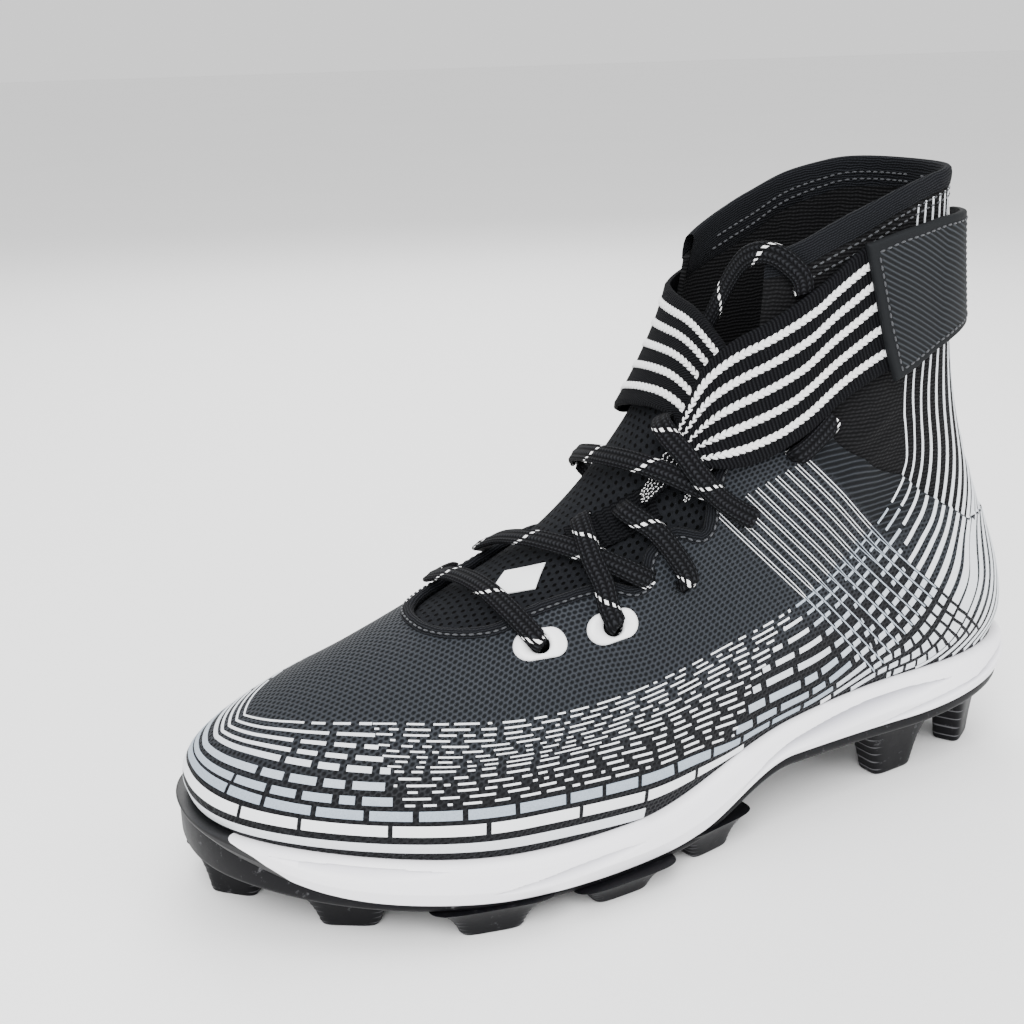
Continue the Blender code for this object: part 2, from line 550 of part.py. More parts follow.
def make_strap(name, folds):
    """Woven strap through its table of folds."""
    places = np.arange(len(folds))
    at = np.linspace(0, len(folds) - 1, 2 * len(folds) - 1)
    column = {field: blend(places, [getattr(f, field) for f in folds], at) for field in Fold._fields}
    t = np.linspace(0, 1, 6)[None, :]
    u = column["top_u"][:, None] + (column["low_u"] - column["top_u"])[:, None] * t
    v = column["top_v"][:, None] + (column["low_v"] - column["top_v"])[:, None] * t
    low = np.repeat(column["lift"][:, None], 6, 1)
    return slab(name, u, v, low, low + STRAP_THICK, COLORS["strap"])


def make_patch(name, side):
    """Closing patch at the end of a strap; side is 1 on the outer side and -1 on the inner."""
    u, v = window(PATCH_TOP, PATCH_LOW, 7, 9)
    low = np.full(u.shape, PATCH_LIFT)
    return slab(name, u * side, v, low, low + PATCH_THICK, COLORS["strap"])


def near(u, v, turn, right, up):
    """The (u, v) that lies right and up of a place, in metres along the last's skin."""
    along_u, along_v = slopes(u, v)
    angle = math.radians(turn)
    axis_r = along_u / np.linalg.norm(along_u)
    axis_n = np.cross(along_u, along_v)
    axis_n /= np.linalg.norm(axis_n)
    axis_u = np.cross(axis_n, axis_r)
    move = (axis_r * math.cos(angle) + axis_u * math.sin(angle)) * right
    move = move + (axis_u * math.cos(angle) - axis_r * math.sin(angle)) * up
    metric = np.array([[along_u @ along_u, along_u @ along_v], [along_u @ along_v, along_v @ along_v]])
    du, dv = np.linalg.solve(metric, np.array([along_u @ move, along_v @ move]))
    return u + du, v + dv


def make_eyelet(name, u, v, turn):
    """Racetrack eyelet plate with a round hole, bent over the upper."""
    angles = np.arange(EYELET_STEPS) * 2 * math.pi / EYELET_STEPS
    straight = (EYELET_LONG - EYELET_WIDE) / 2
    round_end = EYELET_WIDE / 2
    rim = [(math.cos(a) * round_end + math.copysign(straight, math.cos(a)), math.sin(a) * round_end)
           for a in angles]
    hole = [(math.cos(a) * EYELET_HOLE, math.sin(a) * EYELET_HOLE) for a in angles]
    rows = []
    for outline, lift in ((hole, GAP), (hole, EYELET_THICK + GAP), (rim, EYELET_THICK + GAP), (rim, GAP)):
        places = [near(u, v, turn, x, y) for x, y in outline]
        rows.append(off(np.array([p[0] for p in places]), np.array([p[1] for p in places]),
                        np.full(len(places), lift)))
    faces = ring_faces(4, EYELET_STEPS)
    faces += [(3 * EYELET_STEPS + i, 3 * EYELET_STEPS + (i + 1) % EYELET_STEPS, (i + 1) % EYELET_STEPS, i)
              for i in range(EYELET_STEPS)]
    return add_object(name, np.concatenate(rows), faces, COLORS["trim"], 0.35)


def smooth_route(points, per_span):
    """Catmull-Rom curve through a route's points."""
    p = np.array(points, float)
    p = np.concatenate([[2 * p[0] - p[1]], p, [2 * p[-1] - p[-2]]])
    out = []
    for k in range(1, len(p) - 2):
        for t in np.arange(per_span) / per_span:
            a, b, c, d = p[k - 1], p[k], p[k + 1], p[k + 2]
            out.append((2 * b + (c - a) * t + (2 * a - 5 * b + 4 * c - d) * t**2
                        + (3 * b - a - 3 * c + d) * t**3) / 2)
    out.append(p[-2])
    return np.array(out)


def route_places(route):
    """World points and skin normals of a route given as u, level and height."""
    u = np.array([r[0] for r in route])
    u = np.where(u > 1, u - 2, u)
    v, lift = np.array([r[1] for r in route]), np.array([r[2] for r in route])
    points = off(u, v, lift)
    return points, off(u, v, lift + 0.001) - points


def make_lace(name, route, per_span=3):
    """Flat oval lace along a route, lying flat on the last."""
    points, normals = route_places(route)
    path, normals = smooth_route(points, per_span), smooth_route(normals, per_span)
    rows = []
    for k, centre in enumerate(path):
        ahead = path[min(k + 1, len(path) - 1)] - path[max(k - 1, 0)]
        ahead /= np.linalg.norm(ahead)
        wide = np.cross(normals[k], ahead)
        wide /= np.linalg.norm(wide)
        thin = np.cross(ahead, wide)
        angles = (np.arange(LACE_SIDES) + 0.5) * 2 * math.pi / LACE_SIDES
        rows.append(centre + np.outer(np.cos(angles) * LACE_WIDTH / 2, wide)
                    + np.outer(np.sin(angles) * LACE_THICK / 2, thin))
    faces = ring_faces(len(rows), LACE_SIDES)
    last_row = (len(rows) - 1) * LACE_SIDES
    faces += [tuple(range(LACE_SIDES)), tuple(range(last_row, last_row + LACE_SIDES))]
    return add_object(name, np.concatenate(rows), faces, COLORS["strap"])


def make_cord(name, route, per_span):
    """Free run of lace as a plain tube."""
    points, _ = route_places(route)
    path = smooth_route(points, per_span)
    curve = bpy.data.curves.new(name, "CURVE")
    curve.dimensions = "3D"
    curve.bevel_depth = LACE_THICK / 2
    curve.bevel_resolution = 2
    curve.use_fill_caps = True
    spline = curve.splines.new("POLY")
    spline.points.add(len(path) - 1)
    for point, place in zip(spline.points, path):
        point.co = (*place, 1.0)
    obj = bpy.data.objects.new(name, curve)
    bpy.context.scene.collection.objects.link(obj)
    curve.materials.append(material(name, COLORS["strap"]))
    return obj


def make_laces():
    """The crossings as joined solids, the loop and the end as cords."""
    boolean(make_lace("lace_second", BAR_SECOND), make_lace("crossing", BAR_INTO_SECOND), "UNION")
    boolean(make_lace("lace_high", BAR_HIGH), make_lace("crossing", BAR_INTO_FOURTH), "UNION")
    make_lace("lace_front", BAR_FRONT)
    make_lace("lace_third", BAR_THIRD)
    make_cord("lace_loop", LOOP, 3)
    make_cord("lace_end_outer", END_OUTER, 3)


def make_tongue_pieces():
    """Label and gathered lace keeper on the tongue."""
    u, v = window(LABEL_TOP, LABEL_LOW, 4, 4)
    low = np.full(u.shape, -WALL)
    slab("tongue_label", u, v, low, low + LABEL_THICK, COLORS["trim"])
    u, v = window(KEEPER_TOP, KEEPER_LOW, 5, 5)
    low = np.full(u.shape, -WALL)
    slab("lace_keeper", u, v, low, low + KEEPER_THICK, COLORS["knit"])


def main():
    for obj in list(bpy.data.objects):
        bpy.data.objects.remove(obj)
    make_outsole()
    make_midsole()
    make_insole()
    make_upper()
    make_tongue()
    make_tongue_pieces()
    make_strap("strap_over", STRAP_OVER)
    make_strap("strap_under", STRAP_UNDER)
    make_patch("patch_outer", 1)
    make_patch("patch_inner", -1)
    for number, (u, v, turn) in enumerate(EYELETS, 1):
        make_eyelet(f"eyelet_outer_{number}", u, v, turn)
        make_eyelet(f"eyelet_inner_{number}", -u, v, -turn)
    make_laces()


main()
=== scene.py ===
"""Finished look of a high-top american football cleat, left shoe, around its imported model.

Metres, +Z up, toe to -X, heel to +X, outer side of the foot to -Y, ground at 0.
Curved pieces lie on the last, the shoe's inner form. A place on it is (u, v): u runs from 0 at the
toe to 1 at the heel along the outer side and to -1 along the inner side, v from 0 at the feather
edge, where upper meets sole, to 9 at the collar.
"""

import math
from collections import namedtuple
from functools import cache

import bmesh
import bpy
import numpy as np
from bpy.props import FloatProperty, FloatVectorProperty, IntProperty, PointerProperty
from mathutils import Matrix


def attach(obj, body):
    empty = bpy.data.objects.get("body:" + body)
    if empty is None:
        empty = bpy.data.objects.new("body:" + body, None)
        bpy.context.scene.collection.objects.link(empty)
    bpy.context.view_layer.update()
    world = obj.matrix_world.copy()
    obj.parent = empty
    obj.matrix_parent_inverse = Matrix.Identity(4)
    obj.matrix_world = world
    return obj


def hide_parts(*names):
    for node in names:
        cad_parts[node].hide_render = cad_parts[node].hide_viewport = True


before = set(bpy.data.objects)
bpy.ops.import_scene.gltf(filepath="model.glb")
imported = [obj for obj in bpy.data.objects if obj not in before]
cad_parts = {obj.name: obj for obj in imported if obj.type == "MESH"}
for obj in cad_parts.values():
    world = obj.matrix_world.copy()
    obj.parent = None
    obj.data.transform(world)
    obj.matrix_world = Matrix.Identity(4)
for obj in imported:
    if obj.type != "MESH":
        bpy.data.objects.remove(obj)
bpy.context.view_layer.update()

bl_info = {
    "name": "Football cleat",
    "version": (1, 0, 0),
    "blender": (4, 5, 0),
    "location": "View3D > Sidebar > Cleat",
    "description": "Builds the finished look of a high-top football cleat",
    "category": "Add Mesh",
}

# The last and the walls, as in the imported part
LENGTH = 0.276
BALL_WIDTH = 0.100
HEEL_HEIGHT = 0.039
UPPER_HEIGHT = 0.153
AXIS_OFFSET = 0.0045
TOE_SWING = 0.008
WALL = 0.0022
KNIT_STEP = 0.0007
TONGUE_THICK = 0.0028
STRAP_THICK = 0.0015
PATCH_THICK = 0.0020
LACE_WIDTH = 0.0062
LACE_THICK = 0.0022
FOOTBED_DEPTH = 0.0062
INSOLE_THICK = 0.0042

Level = namedtuple("Level", "rise_toe rise_tread rise_waist rise_heel toe heel ball_out ball_in "
                            "waist_out waist_in heel_out heel_in round_toe round_heel")
LEVELS = (
    Level(0.000, 0.000, 0.000, 0.000, -0.488, 0.486, 0.500, 0.420, 0.38, 0.29, 0.310, 0.300, 2.3, 2.10),
    Level(0.042, 0.059, 0.052, 0.065, -0.492, 0.494, 0.510, 0.440, 0.40, 0.32, 0.330, 0.325, 2.3, 2.05),
    Level(0.095, 0.137, 0.124, 0.163, -0.474, 0.483, 0.490, 0.430, 0.40, 0.34, 0.335, 0.330, 2.1, 2.00),
    Level(0.160, 0.209, 0.196, 0.275, -0.419, 0.461, 0.445, 0.415, 0.39, 0.34, 0.315, 0.310, 2.0, 1.90),
    Level(0.228, 0.283, 0.268, 0.386, -0.340, 0.436, 0.375, 0.370, 0.37, 0.34, 0.295, 0.290, 1.9, 1.90),
    Level(0.312, 0.368, 0.366, 0.497, -0.235, 0.412, 0.330, 0.340, 0.35, 0.34, 0.285, 0.280, 1.9, 1.90),
    Level(0.415, 0.477, 0.484, 0.621, -0.115, 0.392, 0.310, 0.310, 0.34, 0.34, 0.280, 0.280, 2.0, 1.90),
    Level(0.572, 0.650, 0.637, 0.745, -0.017, 0.378, 0.290, 0.290, 0.32, 0.32, 0.275, 0.275, 2.2, 1.90),
    Level(0.755, 0.863, 0.837, 0.882, 0.052, 0.365, 0.280, 0.280, 0.30, 0.30, 0.270, 0.270, 2.4, 1.90),
    Level(0.931, 1.052, 0.992, 1.000, 0.088, 0.356, 0.280, 0.280, 0.30, 0.30, 0.270, 0.270, 2.6, 2.00),
)
TOP = len(LEVELS) - 1
SIDES = ((1, "outer"), (-1, "inner"))
FEATHER = (0.73, 0.54, 0.92, 1.00)
RISE_AT = (0.00, 0.42, 0.63, 1.00)
WIDTH_AT = (0.00, 0.27, 0.60, 0.86, 1.00)
TOE_WIDTH = 0.96
CAP_TOE, CAP_HEEL = 0.30, 0.80
STEP_TOE, STEP_HEEL = 0.36, 0.74
SWING_FROM, SWING_TO = -0.225, -0.515

# Black bumper round the toe: its share of the midsole's side by u
BUMPER_U = (0.000, 0.060, 0.098, 0.136, 0.180)
BUMPER_TALL = (1.60, 1.30, 1.00, 0.55, -0.10)

# Side of the sole along the foot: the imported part's plate and edge, with a thinner lip
Side = namedtuple("Side", "at plate lip out")
SIDE = (
    Side(0.00, 0.400, 0.690, 0.0030), Side(0.03, 0.390, 0.620, 0.0030), Side(0.10, 0.330, 0.430, 0.0030),
    Side(0.20, 0.260, 0.325, 0.0028), Side(0.42, 0.160, 0.222, 0.0026), Side(0.50, 0.190, 0.272, 0.0022),
    Side(0.63, 0.530, 0.625, 0.0016), Side(0.80, 0.520, 0.622, 0.0022), Side(1.00, 0.600, 0.705, 0.0028),
)
PAINTED_SHADE_FROM = 2.0        # tone past which the foam gets painted shade, darker the deeper its recess
DEEPEST = 0.0026         # deepest recess of the midsole
PLATE = 0.0024
LIP = 0.0016
GAP = 0.0003
RIM = 0.0008
MIDSOLE_PROUD = 0.0007
SIDE_BULGE = 0.0012
FULL_BULGE_TALL = 0.010
INSOLE_CLEAR = 0.0012

# The throat seen from above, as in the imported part
Throat = namedtuple("Throat", "along half")
THROAT = (
    Throat(-0.2500, 0.030), Throat(-0.2450, 0.080), Throat(-0.2330, 0.125), Throat(-0.2150, 0.165),
    Throat(-0.1900, 0.200), Throat(-0.1550, 0.205), Throat(-0.0830, 0.250), Throat(-0.0450, 0.305),
    Throat(-0.0340, 0.262), Throat(-0.0050, 0.266), Throat(0.0290, 0.305), Throat(0.0400, 0.270),
    Throat(0.0700, 0.262), Throat(0.1000, 0.240), Throat(0.1090, 0.215), Throat(0.1600, 0.210),
)
THROAT_LOW = 0.055
EDGE_STEP = 0.0009       # steps, wall and stitches' distance of the throat's folded edge
EDGE_THICK = 0.0003
EDGE_STITCH = 0.0022
OVERLAY_U = (0.00, 0.42, 0.50, 0.62, 0.73, 0.80, 0.85, 1.00)
OVERLAY_V = (6.95, 6.95, 6.90, 6.05, 4.95, 3.90, 3.20, 2.90)
BINDING_V = 8.72
HEEL_COLUMN = 0.86       # u past which the mesh follows its rows round the heel
GIRTH_MEET = 0.36        # share of the length where the mesh's rows turn parallel to the sole

# Eyelets as (u, level, turn in degrees) and the punched holes above them as (u, level)
EYELETS = ((0.241, 4.75, 8), (0.311, 4.97, 10))
PUNCHED = ((0.359, 5.54), (0.394, 6.29), (0.431, 6.86))
EYELET_LONG = 0.0150
EYELET_WIDE = 0.0088
EYELET_HOLE = 0.0028
PUNCHED_HOLE = 0.0024

# The tongue's edges by level, its label and the lace keeper: their upper and lower lines as (u, level)
Tongue = namedtuple("Tongue", "v outer inner")
TONGUE = (
    Tongue(4.35, 0.06, -0.06), Tongue(4.55, 0.14, -0.12), Tongue(5.00, 0.21, -0.14),
    Tongue(5.60, 0.26, -0.14), Tongue(6.20, 0.31, -0.17), Tongue(6.80, 0.34, -0.21),
    Tongue(7.30, 0.33, -0.25), Tongue(7.70, 0.30, -0.26),
)
LABEL_TOP = ((0.018, 5.66), (0.082, 5.86))
LABEL_LOW = ((0.066, 5.38), (0.128, 5.56))
KEEPER_TOP = ((0.040, 6.20), (0.150, 6.78))
KEEPER_LOW = ((0.150, 5.98), (0.225, 6.42))

# Straps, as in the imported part: edges as (u, level) and height of the underside
Fold = namedtuple("Fold", "top_u top_v low_u low_v lift")
STRAP_OVER = (
    Fold(0.700, 8.32, 0.780, 6.90, 0.0006), Fold(0.580, 8.52, 0.690, 7.00, 0.0006),
    Fold(0.482, 8.60, 0.605, 7.12, 0.0006), Fold(0.400, 8.52, 0.500, 7.18, 0.0013),
    Fold(0.325, 8.43, 0.425, 7.06, 0.0026), Fold(0.250, 8.28, 0.370, 6.98, 0.0030),
    Fold(0.183, 8.10, 0.321, 6.91, 0.0030), Fold(0.141, 7.82, 0.285, 6.90, 0.0030),
    Fold(0.143, 7.45, 0.240, 6.90, 0.0030), Fold(0.148, 7.15, 0.215, 6.82, 0.0027),
    Fold(0.150, 6.85, 0.195, 6.68, 0.0014), Fold(0.155, 6.62, 0.180, 6.52, 0.0004),
)
STRAP_UNDER = (
    Fold(-0.700, 8.32, -0.780, 6.90, 0.0006), Fold(-0.580, 8.52, -0.690, 7.00, 0.0006),
    Fold(-0.482, 8.60, -0.605, 7.12, 0.0006), Fold(-0.360, 8.55, -0.430, 7.06, 0.0006),
    Fold(-0.220, 8.52, -0.260, 7.05, 0.0008), Fold(-0.090, 8.50, -0.100, 7.28, 0.0008),
    Fold(0.020, 8.41, 0.030, 7.40, 0.0008), Fold(0.110, 8.22, 0.112, 7.36, 0.0008),
    Fold(0.190, 7.95, 0.165, 7.22, 0.0008), Fold(0.245, 7.50, 0.215, 7.05, 0.0008),
    Fold(0.262, 7.05, 0.236, 6.80, 0.0006), Fold(0.262, 6.66, 0.240, 6.56, 0.0003),
)
PATCH_TOP = ((0.470, 8.66), (0.930, 8.22))
PATCH_LOW = ((0.625, 6.98), (0.930, 6.58))
PATCH_LIFT = 0.0027
PATCH_LONG = 0.036       # rough size, for the width of the border
PATCH_TALL = 0.028
PATCH_BORDER = 0.0024
PATCH_RIB_DEEP = 0.00022
LABEL_THICK = 0.0006
KEEPER_THICK = 0.0012
KEEPER_FOLD = 0.0003     # how much its thickness changes from fold to fold
KEEPER_FOLDS = 11

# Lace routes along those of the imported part, carried on at their ends into the holes or under the cloth:
# (u, level, height of the lace's middle above the last)
LACE_LOW = 0.0022
INTO = -0.0060
BAR_FRONT = ((-0.236, 4.74, INTO), (-0.230, 4.76, 0.0008), (-0.225, 4.78, 0.0034), (-0.140, 4.98, 0.0026),
             (-0.045, 5.32, LACE_LOW), (0.066, 5.37, LACE_LOW), (0.154, 5.17, LACE_LOW),
             (0.205, 4.95, 0.0026), (0.232, 4.79, 0.0034), (0.240, 4.76, 0.0008), (0.243, 4.74, INTO))
BAR_SECOND = ((-0.314, 4.94, INTO), (-0.310, 4.97, 0.0008), (-0.303, 5.02, 0.0034), (-0.262, 5.12, 0.0036),
              (-0.210, 5.28, 0.0034), (-0.146, 5.50, 0.0026),
              (-0.070, 5.80, LACE_LOW), (0.040, 5.98, LACE_LOW), (0.138, 5.98, LACE_LOW),
              (0.205, 5.89, LACE_LOW), (0.262, 5.76, LACE_LOW), (0.300, 5.66, -0.0012), (0.316, 5.60, INTO))
BAR_INTO_SECOND = ((0.030, 6.40, -0.0052), (0.060, 6.34, -0.0010), (0.085, 6.28, LACE_LOW),
                   (0.130, 6.12, 0.0036), (0.185, 5.85, 0.0046), (0.235, 5.58, 0.0034), (0.275, 5.28, 0.0026),
                   (0.304, 5.04, 0.0034), (0.311, 4.99, 0.0008), (0.314, 4.96, INTO))
BAR_THIRD = ((0.098, 6.57, -0.0052), (0.130, 6.50, -0.0010), (0.165, 6.42, 0.0030), (0.233, 6.27, 0.0026),
             (0.286, 6.04, 0.0022), (0.330, 5.78, 0.0026), (0.352, 5.60, 0.0030), (0.359, 5.55, 0.0006),
             (0.361, 5.52, INTO))
BAR_HIGH = ((-0.212, 6.48, INTO), (-0.206, 6.51, 0.0008), (-0.200, 6.55, 0.0034), (-0.110, 6.72, 0.0032),
            (0.013, 6.84, 0.0044), (0.110, 6.87, 0.0052), (0.189, 6.82, 0.0059), (0.245, 6.74, 0.0050),
            (0.290, 6.66, 0.0010), (0.306, 6.62, INTO))
BAR_INTO_FOURTH = ((0.070, 7.52, -0.0040), (0.088, 7.40, -0.0005), (0.108, 7.30, 0.0044),
                   (0.132, 7.22, 0.0068), (0.170, 7.10, 0.0072), (0.204, 6.99, 0.0076), (0.245, 6.82, 0.0074),
                   (0.300, 6.62, 0.0034), (0.347, 6.46, 0.0028), (0.385, 6.33, 0.0032), (0.393, 6.30, 0.0006),
                   (0.396, 6.27, INTO))
LOOP = ((0.020, 8.02, -0.0045), (0.035, 8.30, -0.0045), (0.058, 8.60, -0.0040), (0.090, 8.82, -0.0025),
        (0.135, 8.96, 0.0000), (0.185, 9.00, 0.0016), (0.235, 8.94, 0.0019), (0.285, 8.78, 0.0018),
        (0.316, 8.62, 0.0013), (0.330, 8.46, 0.0009))
END_OUTER = ((0.398, 6.36, -0.0034), (0.410, 6.58, -0.0036), (0.424, 6.76, -0.0032), (0.429, 6.83, -0.0008),
             (0.433, 6.86, 0.0022), (0.452, 6.90, 0.0022), (0.478, 6.98, 0.0019), (0.497, 7.05, 0.0014))

# Section of a lace, links of the straps' cords as shares of their pitch and width, and stitches
LACE_SIDES = 20
LACE_RIBS = 7
LACE_RIB_DEEP = 0.00014
LINK_LONG = 1.65
LINK_WIDE = 0.54
LINK_ASIDE = 0.20
LINK_TALL = 0.0011       # metres
LINK_LEAN = 26           # degrees
STITCH_LONG = 0.72       # share of the pitch
STITCH_WIDE = 0.0006
STITCH_TALL = 0.0005
STITCH_REACH = 0.0004    # how far before and after it a stitch takes its direction

# Rows of collar stitches: level and height, two outside and two inside
COLLAR_STITCHES = ((8.66, -0.0005), (8.56, -0.0005), (8.62, -0.0027), (8.74, -0.0027))

# Fineness of the meshes
UPPER_COLUMNS = 441
COATED_ROWS = 90
KNIT_ROWS = 62
SOLE_COLUMNS = 640
MIDSOLE_ROWS = 44
INSOLE_COLUMNS = 240
STUD_SIDES = 48
STUD_ROWS = 61
EYELET_SIDES = 64

# Stage: lights with their size in metres and power in watts, the point that they face, the sky's
# strength and the floor's half width
Light = namedtuple("Light", "name place size power")
LIGHTS = (
    Light("key", (-0.55, -0.75, 0.95), 0.8, 24.0), Light("fill", (0.75, -0.75, 0.55), 0.9, 8.0),
    Light("back", (0.25, 0.85, 0.80), 0.8, 9.5), Light("top", (0.0, 0.0, 1.2), 1.0, 6.0),
)
LIGHTS_FACE = (0.0, 0.0, 0.08)
SKY = 1.15
FLOOR_HALF = 12.0

# Camera fitted to the photograph
CAMERA_AT = (-0.18868, -0.34631, 0.22851)
CAMERA_AZIMUTH = -23.2329
CAMERA_ELEVATION = 18.5094
CAMERA_ROLL = -1.3866
CAMERA_LENS = 49.57
SENSOR = 36.0


def blend(stations, values, at):
    """Smooth curve through the values at the stations, without overshoot."""
    xs, ys = np.asarray(stations, float), np.asarray(values, float)
    slope = np.diff(ys) / np.diff(xs)
    tangent = np.concatenate([[0.0], (slope[1:] + slope[:-1]) / 2, [0.0]])
    tangent[1:-1][slope[1:] * slope[:-1] <= 0] = 0.0
    k = np.clip(np.searchsorted(xs, at) - 1, 0, len(xs) - 2)
    span = xs[k + 1] - xs[k]
    t = np.clip((at - xs[k]) / span, 0.0, 1.0)
    return ((2 * t**3 - 3 * t**2 + 1) * ys[k] + (t**3 - 2 * t**2 + t) * span * tangent[k]
            + (3 * t**2 - 2 * t**3) * ys[k + 1] + (t**3 - t**2) * span * tangent[k + 1])


def soft_step(t):
    """Smooth ramp from 0 to 1."""
    t = np.clip(t, 0.0, 1.0)
    return t * t * (3 - 2 * t)


def column_share(level, w):
    """Share of the level's length and fullness of its outline for columns w from toe to heel."""
    toe_angle = np.clip(w / STEP_TOE, 0, 1) * math.pi / 2
    heel_angle = np.clip((1 - w) / (1 - STEP_HEEL), 0, 1) * math.pi / 2
    toe = CAP_TOE * (1 - np.cos(toe_angle) ** (2 / level.round_toe))
    heel = 1 - (1 - CAP_HEEL) * (1 - np.cos(heel_angle) ** (2 / level.round_heel))
    middle = CAP_TOE + (CAP_HEEL - CAP_TOE) * (w - STEP_TOE) / (STEP_HEEL - STEP_TOE)
    share = np.where(w <= STEP_TOE, toe, np.where(w < STEP_HEEL, middle, heel))
    full = np.sin(toe_angle) ** (2 / level.round_toe) * np.sin(heel_angle) ** (2 / level.round_heel)
    return share, full


def half_level(level, w, outer):
    """One side of a level, toe to heel."""
    share, full = column_share(level, w)
    if outer:
        ball, waist, heel = level.ball_out, level.waist_out, level.heel_out
    else:
        ball, waist, heel = level.ball_in, level.waist_in, level.heel_in
    half = blend(WIDTH_AT, (ball * TOE_WIDTH, ball, waist, heel, heel), share) * full * BALL_WIDTH
    x = (level.toe + (level.heel - level.toe) * share) * LENGTH
    turn = np.clip((SWING_FROM - x / LENGTH) / (SWING_FROM - SWING_TO), 0, 1)
    y = AXIS_OFFSET + (-half if outer else half) + TOE_SWING * soft_step(turn)
    rises = np.array([level.rise_toe, level.rise_tread, level.rise_waist, level.rise_heel])
    z = blend(RISE_AT, np.array(FEATHER) * HEEL_HEIGHT + rises * UPPER_HEIGHT, share)
    return np.stack([x, y, z], axis=-1)


def level_points(level, u):
    """Points of a level at places u round the shoe."""
    w = np.minimum(np.abs(u), 1)
    return np.where((np.asarray(u) >= 0)[..., None], half_level(level, w, True), half_level(level, w, False))


def carried_on(rows):
    """Rows with one more at either end, straight on."""
    return np.concatenate([[2 * rows[0] - rows[1]], rows, [2 * rows[-1] - rows[-2]]])


def curve_point(a, b, c, d, t):
    """Place at share t of the span from b to c of a smooth curve through four points."""
    return (2 * b + (c - a) * t + (2 * a - 5 * b + 4 * c - d) * t**2 + (3 * b - a - 3 * c + d) * t**3) / 2


def last(u, v):
    """Points of the last at (u, v)."""
    u, v = np.broadcast_arrays(np.asarray(u, float), np.asarray(v, float))
    shape = u.shape
    u, v = (u.ravel() + 1) % 2 - 1, v.ravel()
    stack = carried_on(np.stack([level_points(level, u) for level in LEVELS]))
    k = np.clip(np.floor(v).astype(int), 0, TOP - 1)
    column = np.arange(len(u))
    point = curve_point(*(stack[k + n, column] for n in range(4)), (v - k)[:, None])
    return point.reshape(shape + (3,))


def slopes(u, v):
    """The last's directions along u and v."""
    step = 0.004
    along_u = (last(np.add(u, step), v) - last(np.subtract(u, step), v)) / (2 * step)
    along_v = (last(u, np.add(v, step)) - last(u, np.subtract(v, step))) / (2 * step)
    return along_u, along_v


def unit(vectors):
    """Vectors of length one."""
    return vectors / np.maximum(np.linalg.norm(vectors, axis=-1, keepdims=True), 1e-12)


def skin_normal(u, v):
    """Outward normals of the last."""
    along_u, along_v = slopes(u, v)
    return unit(np.cross(along_u, along_v))


def off(u, v, lift):
    """Points at a height above the last."""
    return last(u, v) + skin_normal(u, v) * np.asarray(lift, float)[..., None]


def moved(u, v, step):
    """The (u, v) reached by a small step in metres along the skin."""
    along_u, along_v = slopes(u, v)
    uu = (along_u * along_u).sum(-1)
    uv = (along_u * along_v).sum(-1)
    vv = (along_v * along_v).sum(-1)
    a, b = (along_u * step).sum(-1), (along_v * step).sum(-1)
    size = np.maximum(uu * vv - uv * uv, 1e-14)
    return u + (a * vv - b * uv) / size, v + (b * uu - a * uv) / size


# Creases of the upper: two ends as (u, level), half width and depth in metres
Crease = namedtuple("Crease", "u0 v0 u1 v1 wide deep")
CREASES = (
    Crease(0.27, 2.3, 0.33, 3.6, 0.0055, 0.0007), Crease(-0.27, 2.2, -0.33, 3.6, 0.0055, 0.0008),
    Crease(0.40, 3.0, 0.44, 5.2, 0.0060, 0.0005), Crease(-0.40, 3.0, -0.44, 5.0, 0.0060, 0.0006),
    Crease(0.55, 6.20, 0.72, 6.05, 0.0024, 0.0006), Crease(0.52, 6.70, 0.66, 6.55, 0.0022, 0.0005),
    Crease(-0.55, 6.20, -0.72, 6.05, 0.0024, 0.0006), Crease(-0.52, 6.70, -0.66, 6.55, 0.0022, 0.0005),
    Crease(0.90, 4.2, 0.985, 4.1, 0.0030, 0.0004), Crease(-0.90, 4.2, -0.985, 4.1, 0.0030, 0.0004),
)


def crease_lift(points):
    """Depth of the creases at points of the skin."""
    ends = last([[c.u0, c.u1] for c in CREASES], [[c.v0, c.v1] for c in CREASES])
    lift = np.zeros(points.shape[:-1])
    for crease, (start, end) in zip(CREASES, ends):
        along = end - start
        t = np.clip(((points - start) @ along) / (along @ along), 0, 1)
        away = np.linalg.norm(points - start - t[..., None] * along, axis=-1) / crease.wide
        lift += crease.deep * 4 * t * (1 - t) * (0.35 * np.exp(-((away - 1.6) ** 2) * 2) - np.exp(-away**2))
    return lift


def skin(u, v, lift):
    """Points at a height above the creased upper."""
    base = last(u, v)
    return base + skin_normal(u, v) * (np.asarray(lift, float) + crease_lift(base))[..., None]


def smooth_route(points, per_span):
    """Smooth curve through points, with so many steps from one to the next."""
    p = carried_on(np.array(points, float))
    shares = np.arange(per_span) / per_span
    fine = [curve_point(*p[k:k + 4], t) for k in range(len(p) - 3) for t in shares]
    return np.array([*fine, p[-2]])


def run_along(path):
    """Distance from the start of a path to each of its points."""
    return np.concatenate([[0], np.cumsum(np.linalg.norm(np.diff(path, axis=0), axis=-1))])


def sampled(values, run, at):
    """Values along a run taken at other distances."""
    return np.stack([np.interp(at, run, column) for column in values.T], axis=-1)


def sideways(u, v, path):
    """Directions on the skin square to a path."""
    return np.cross(skin_normal(u, v), unit(np.gradient(path, axis=0)))


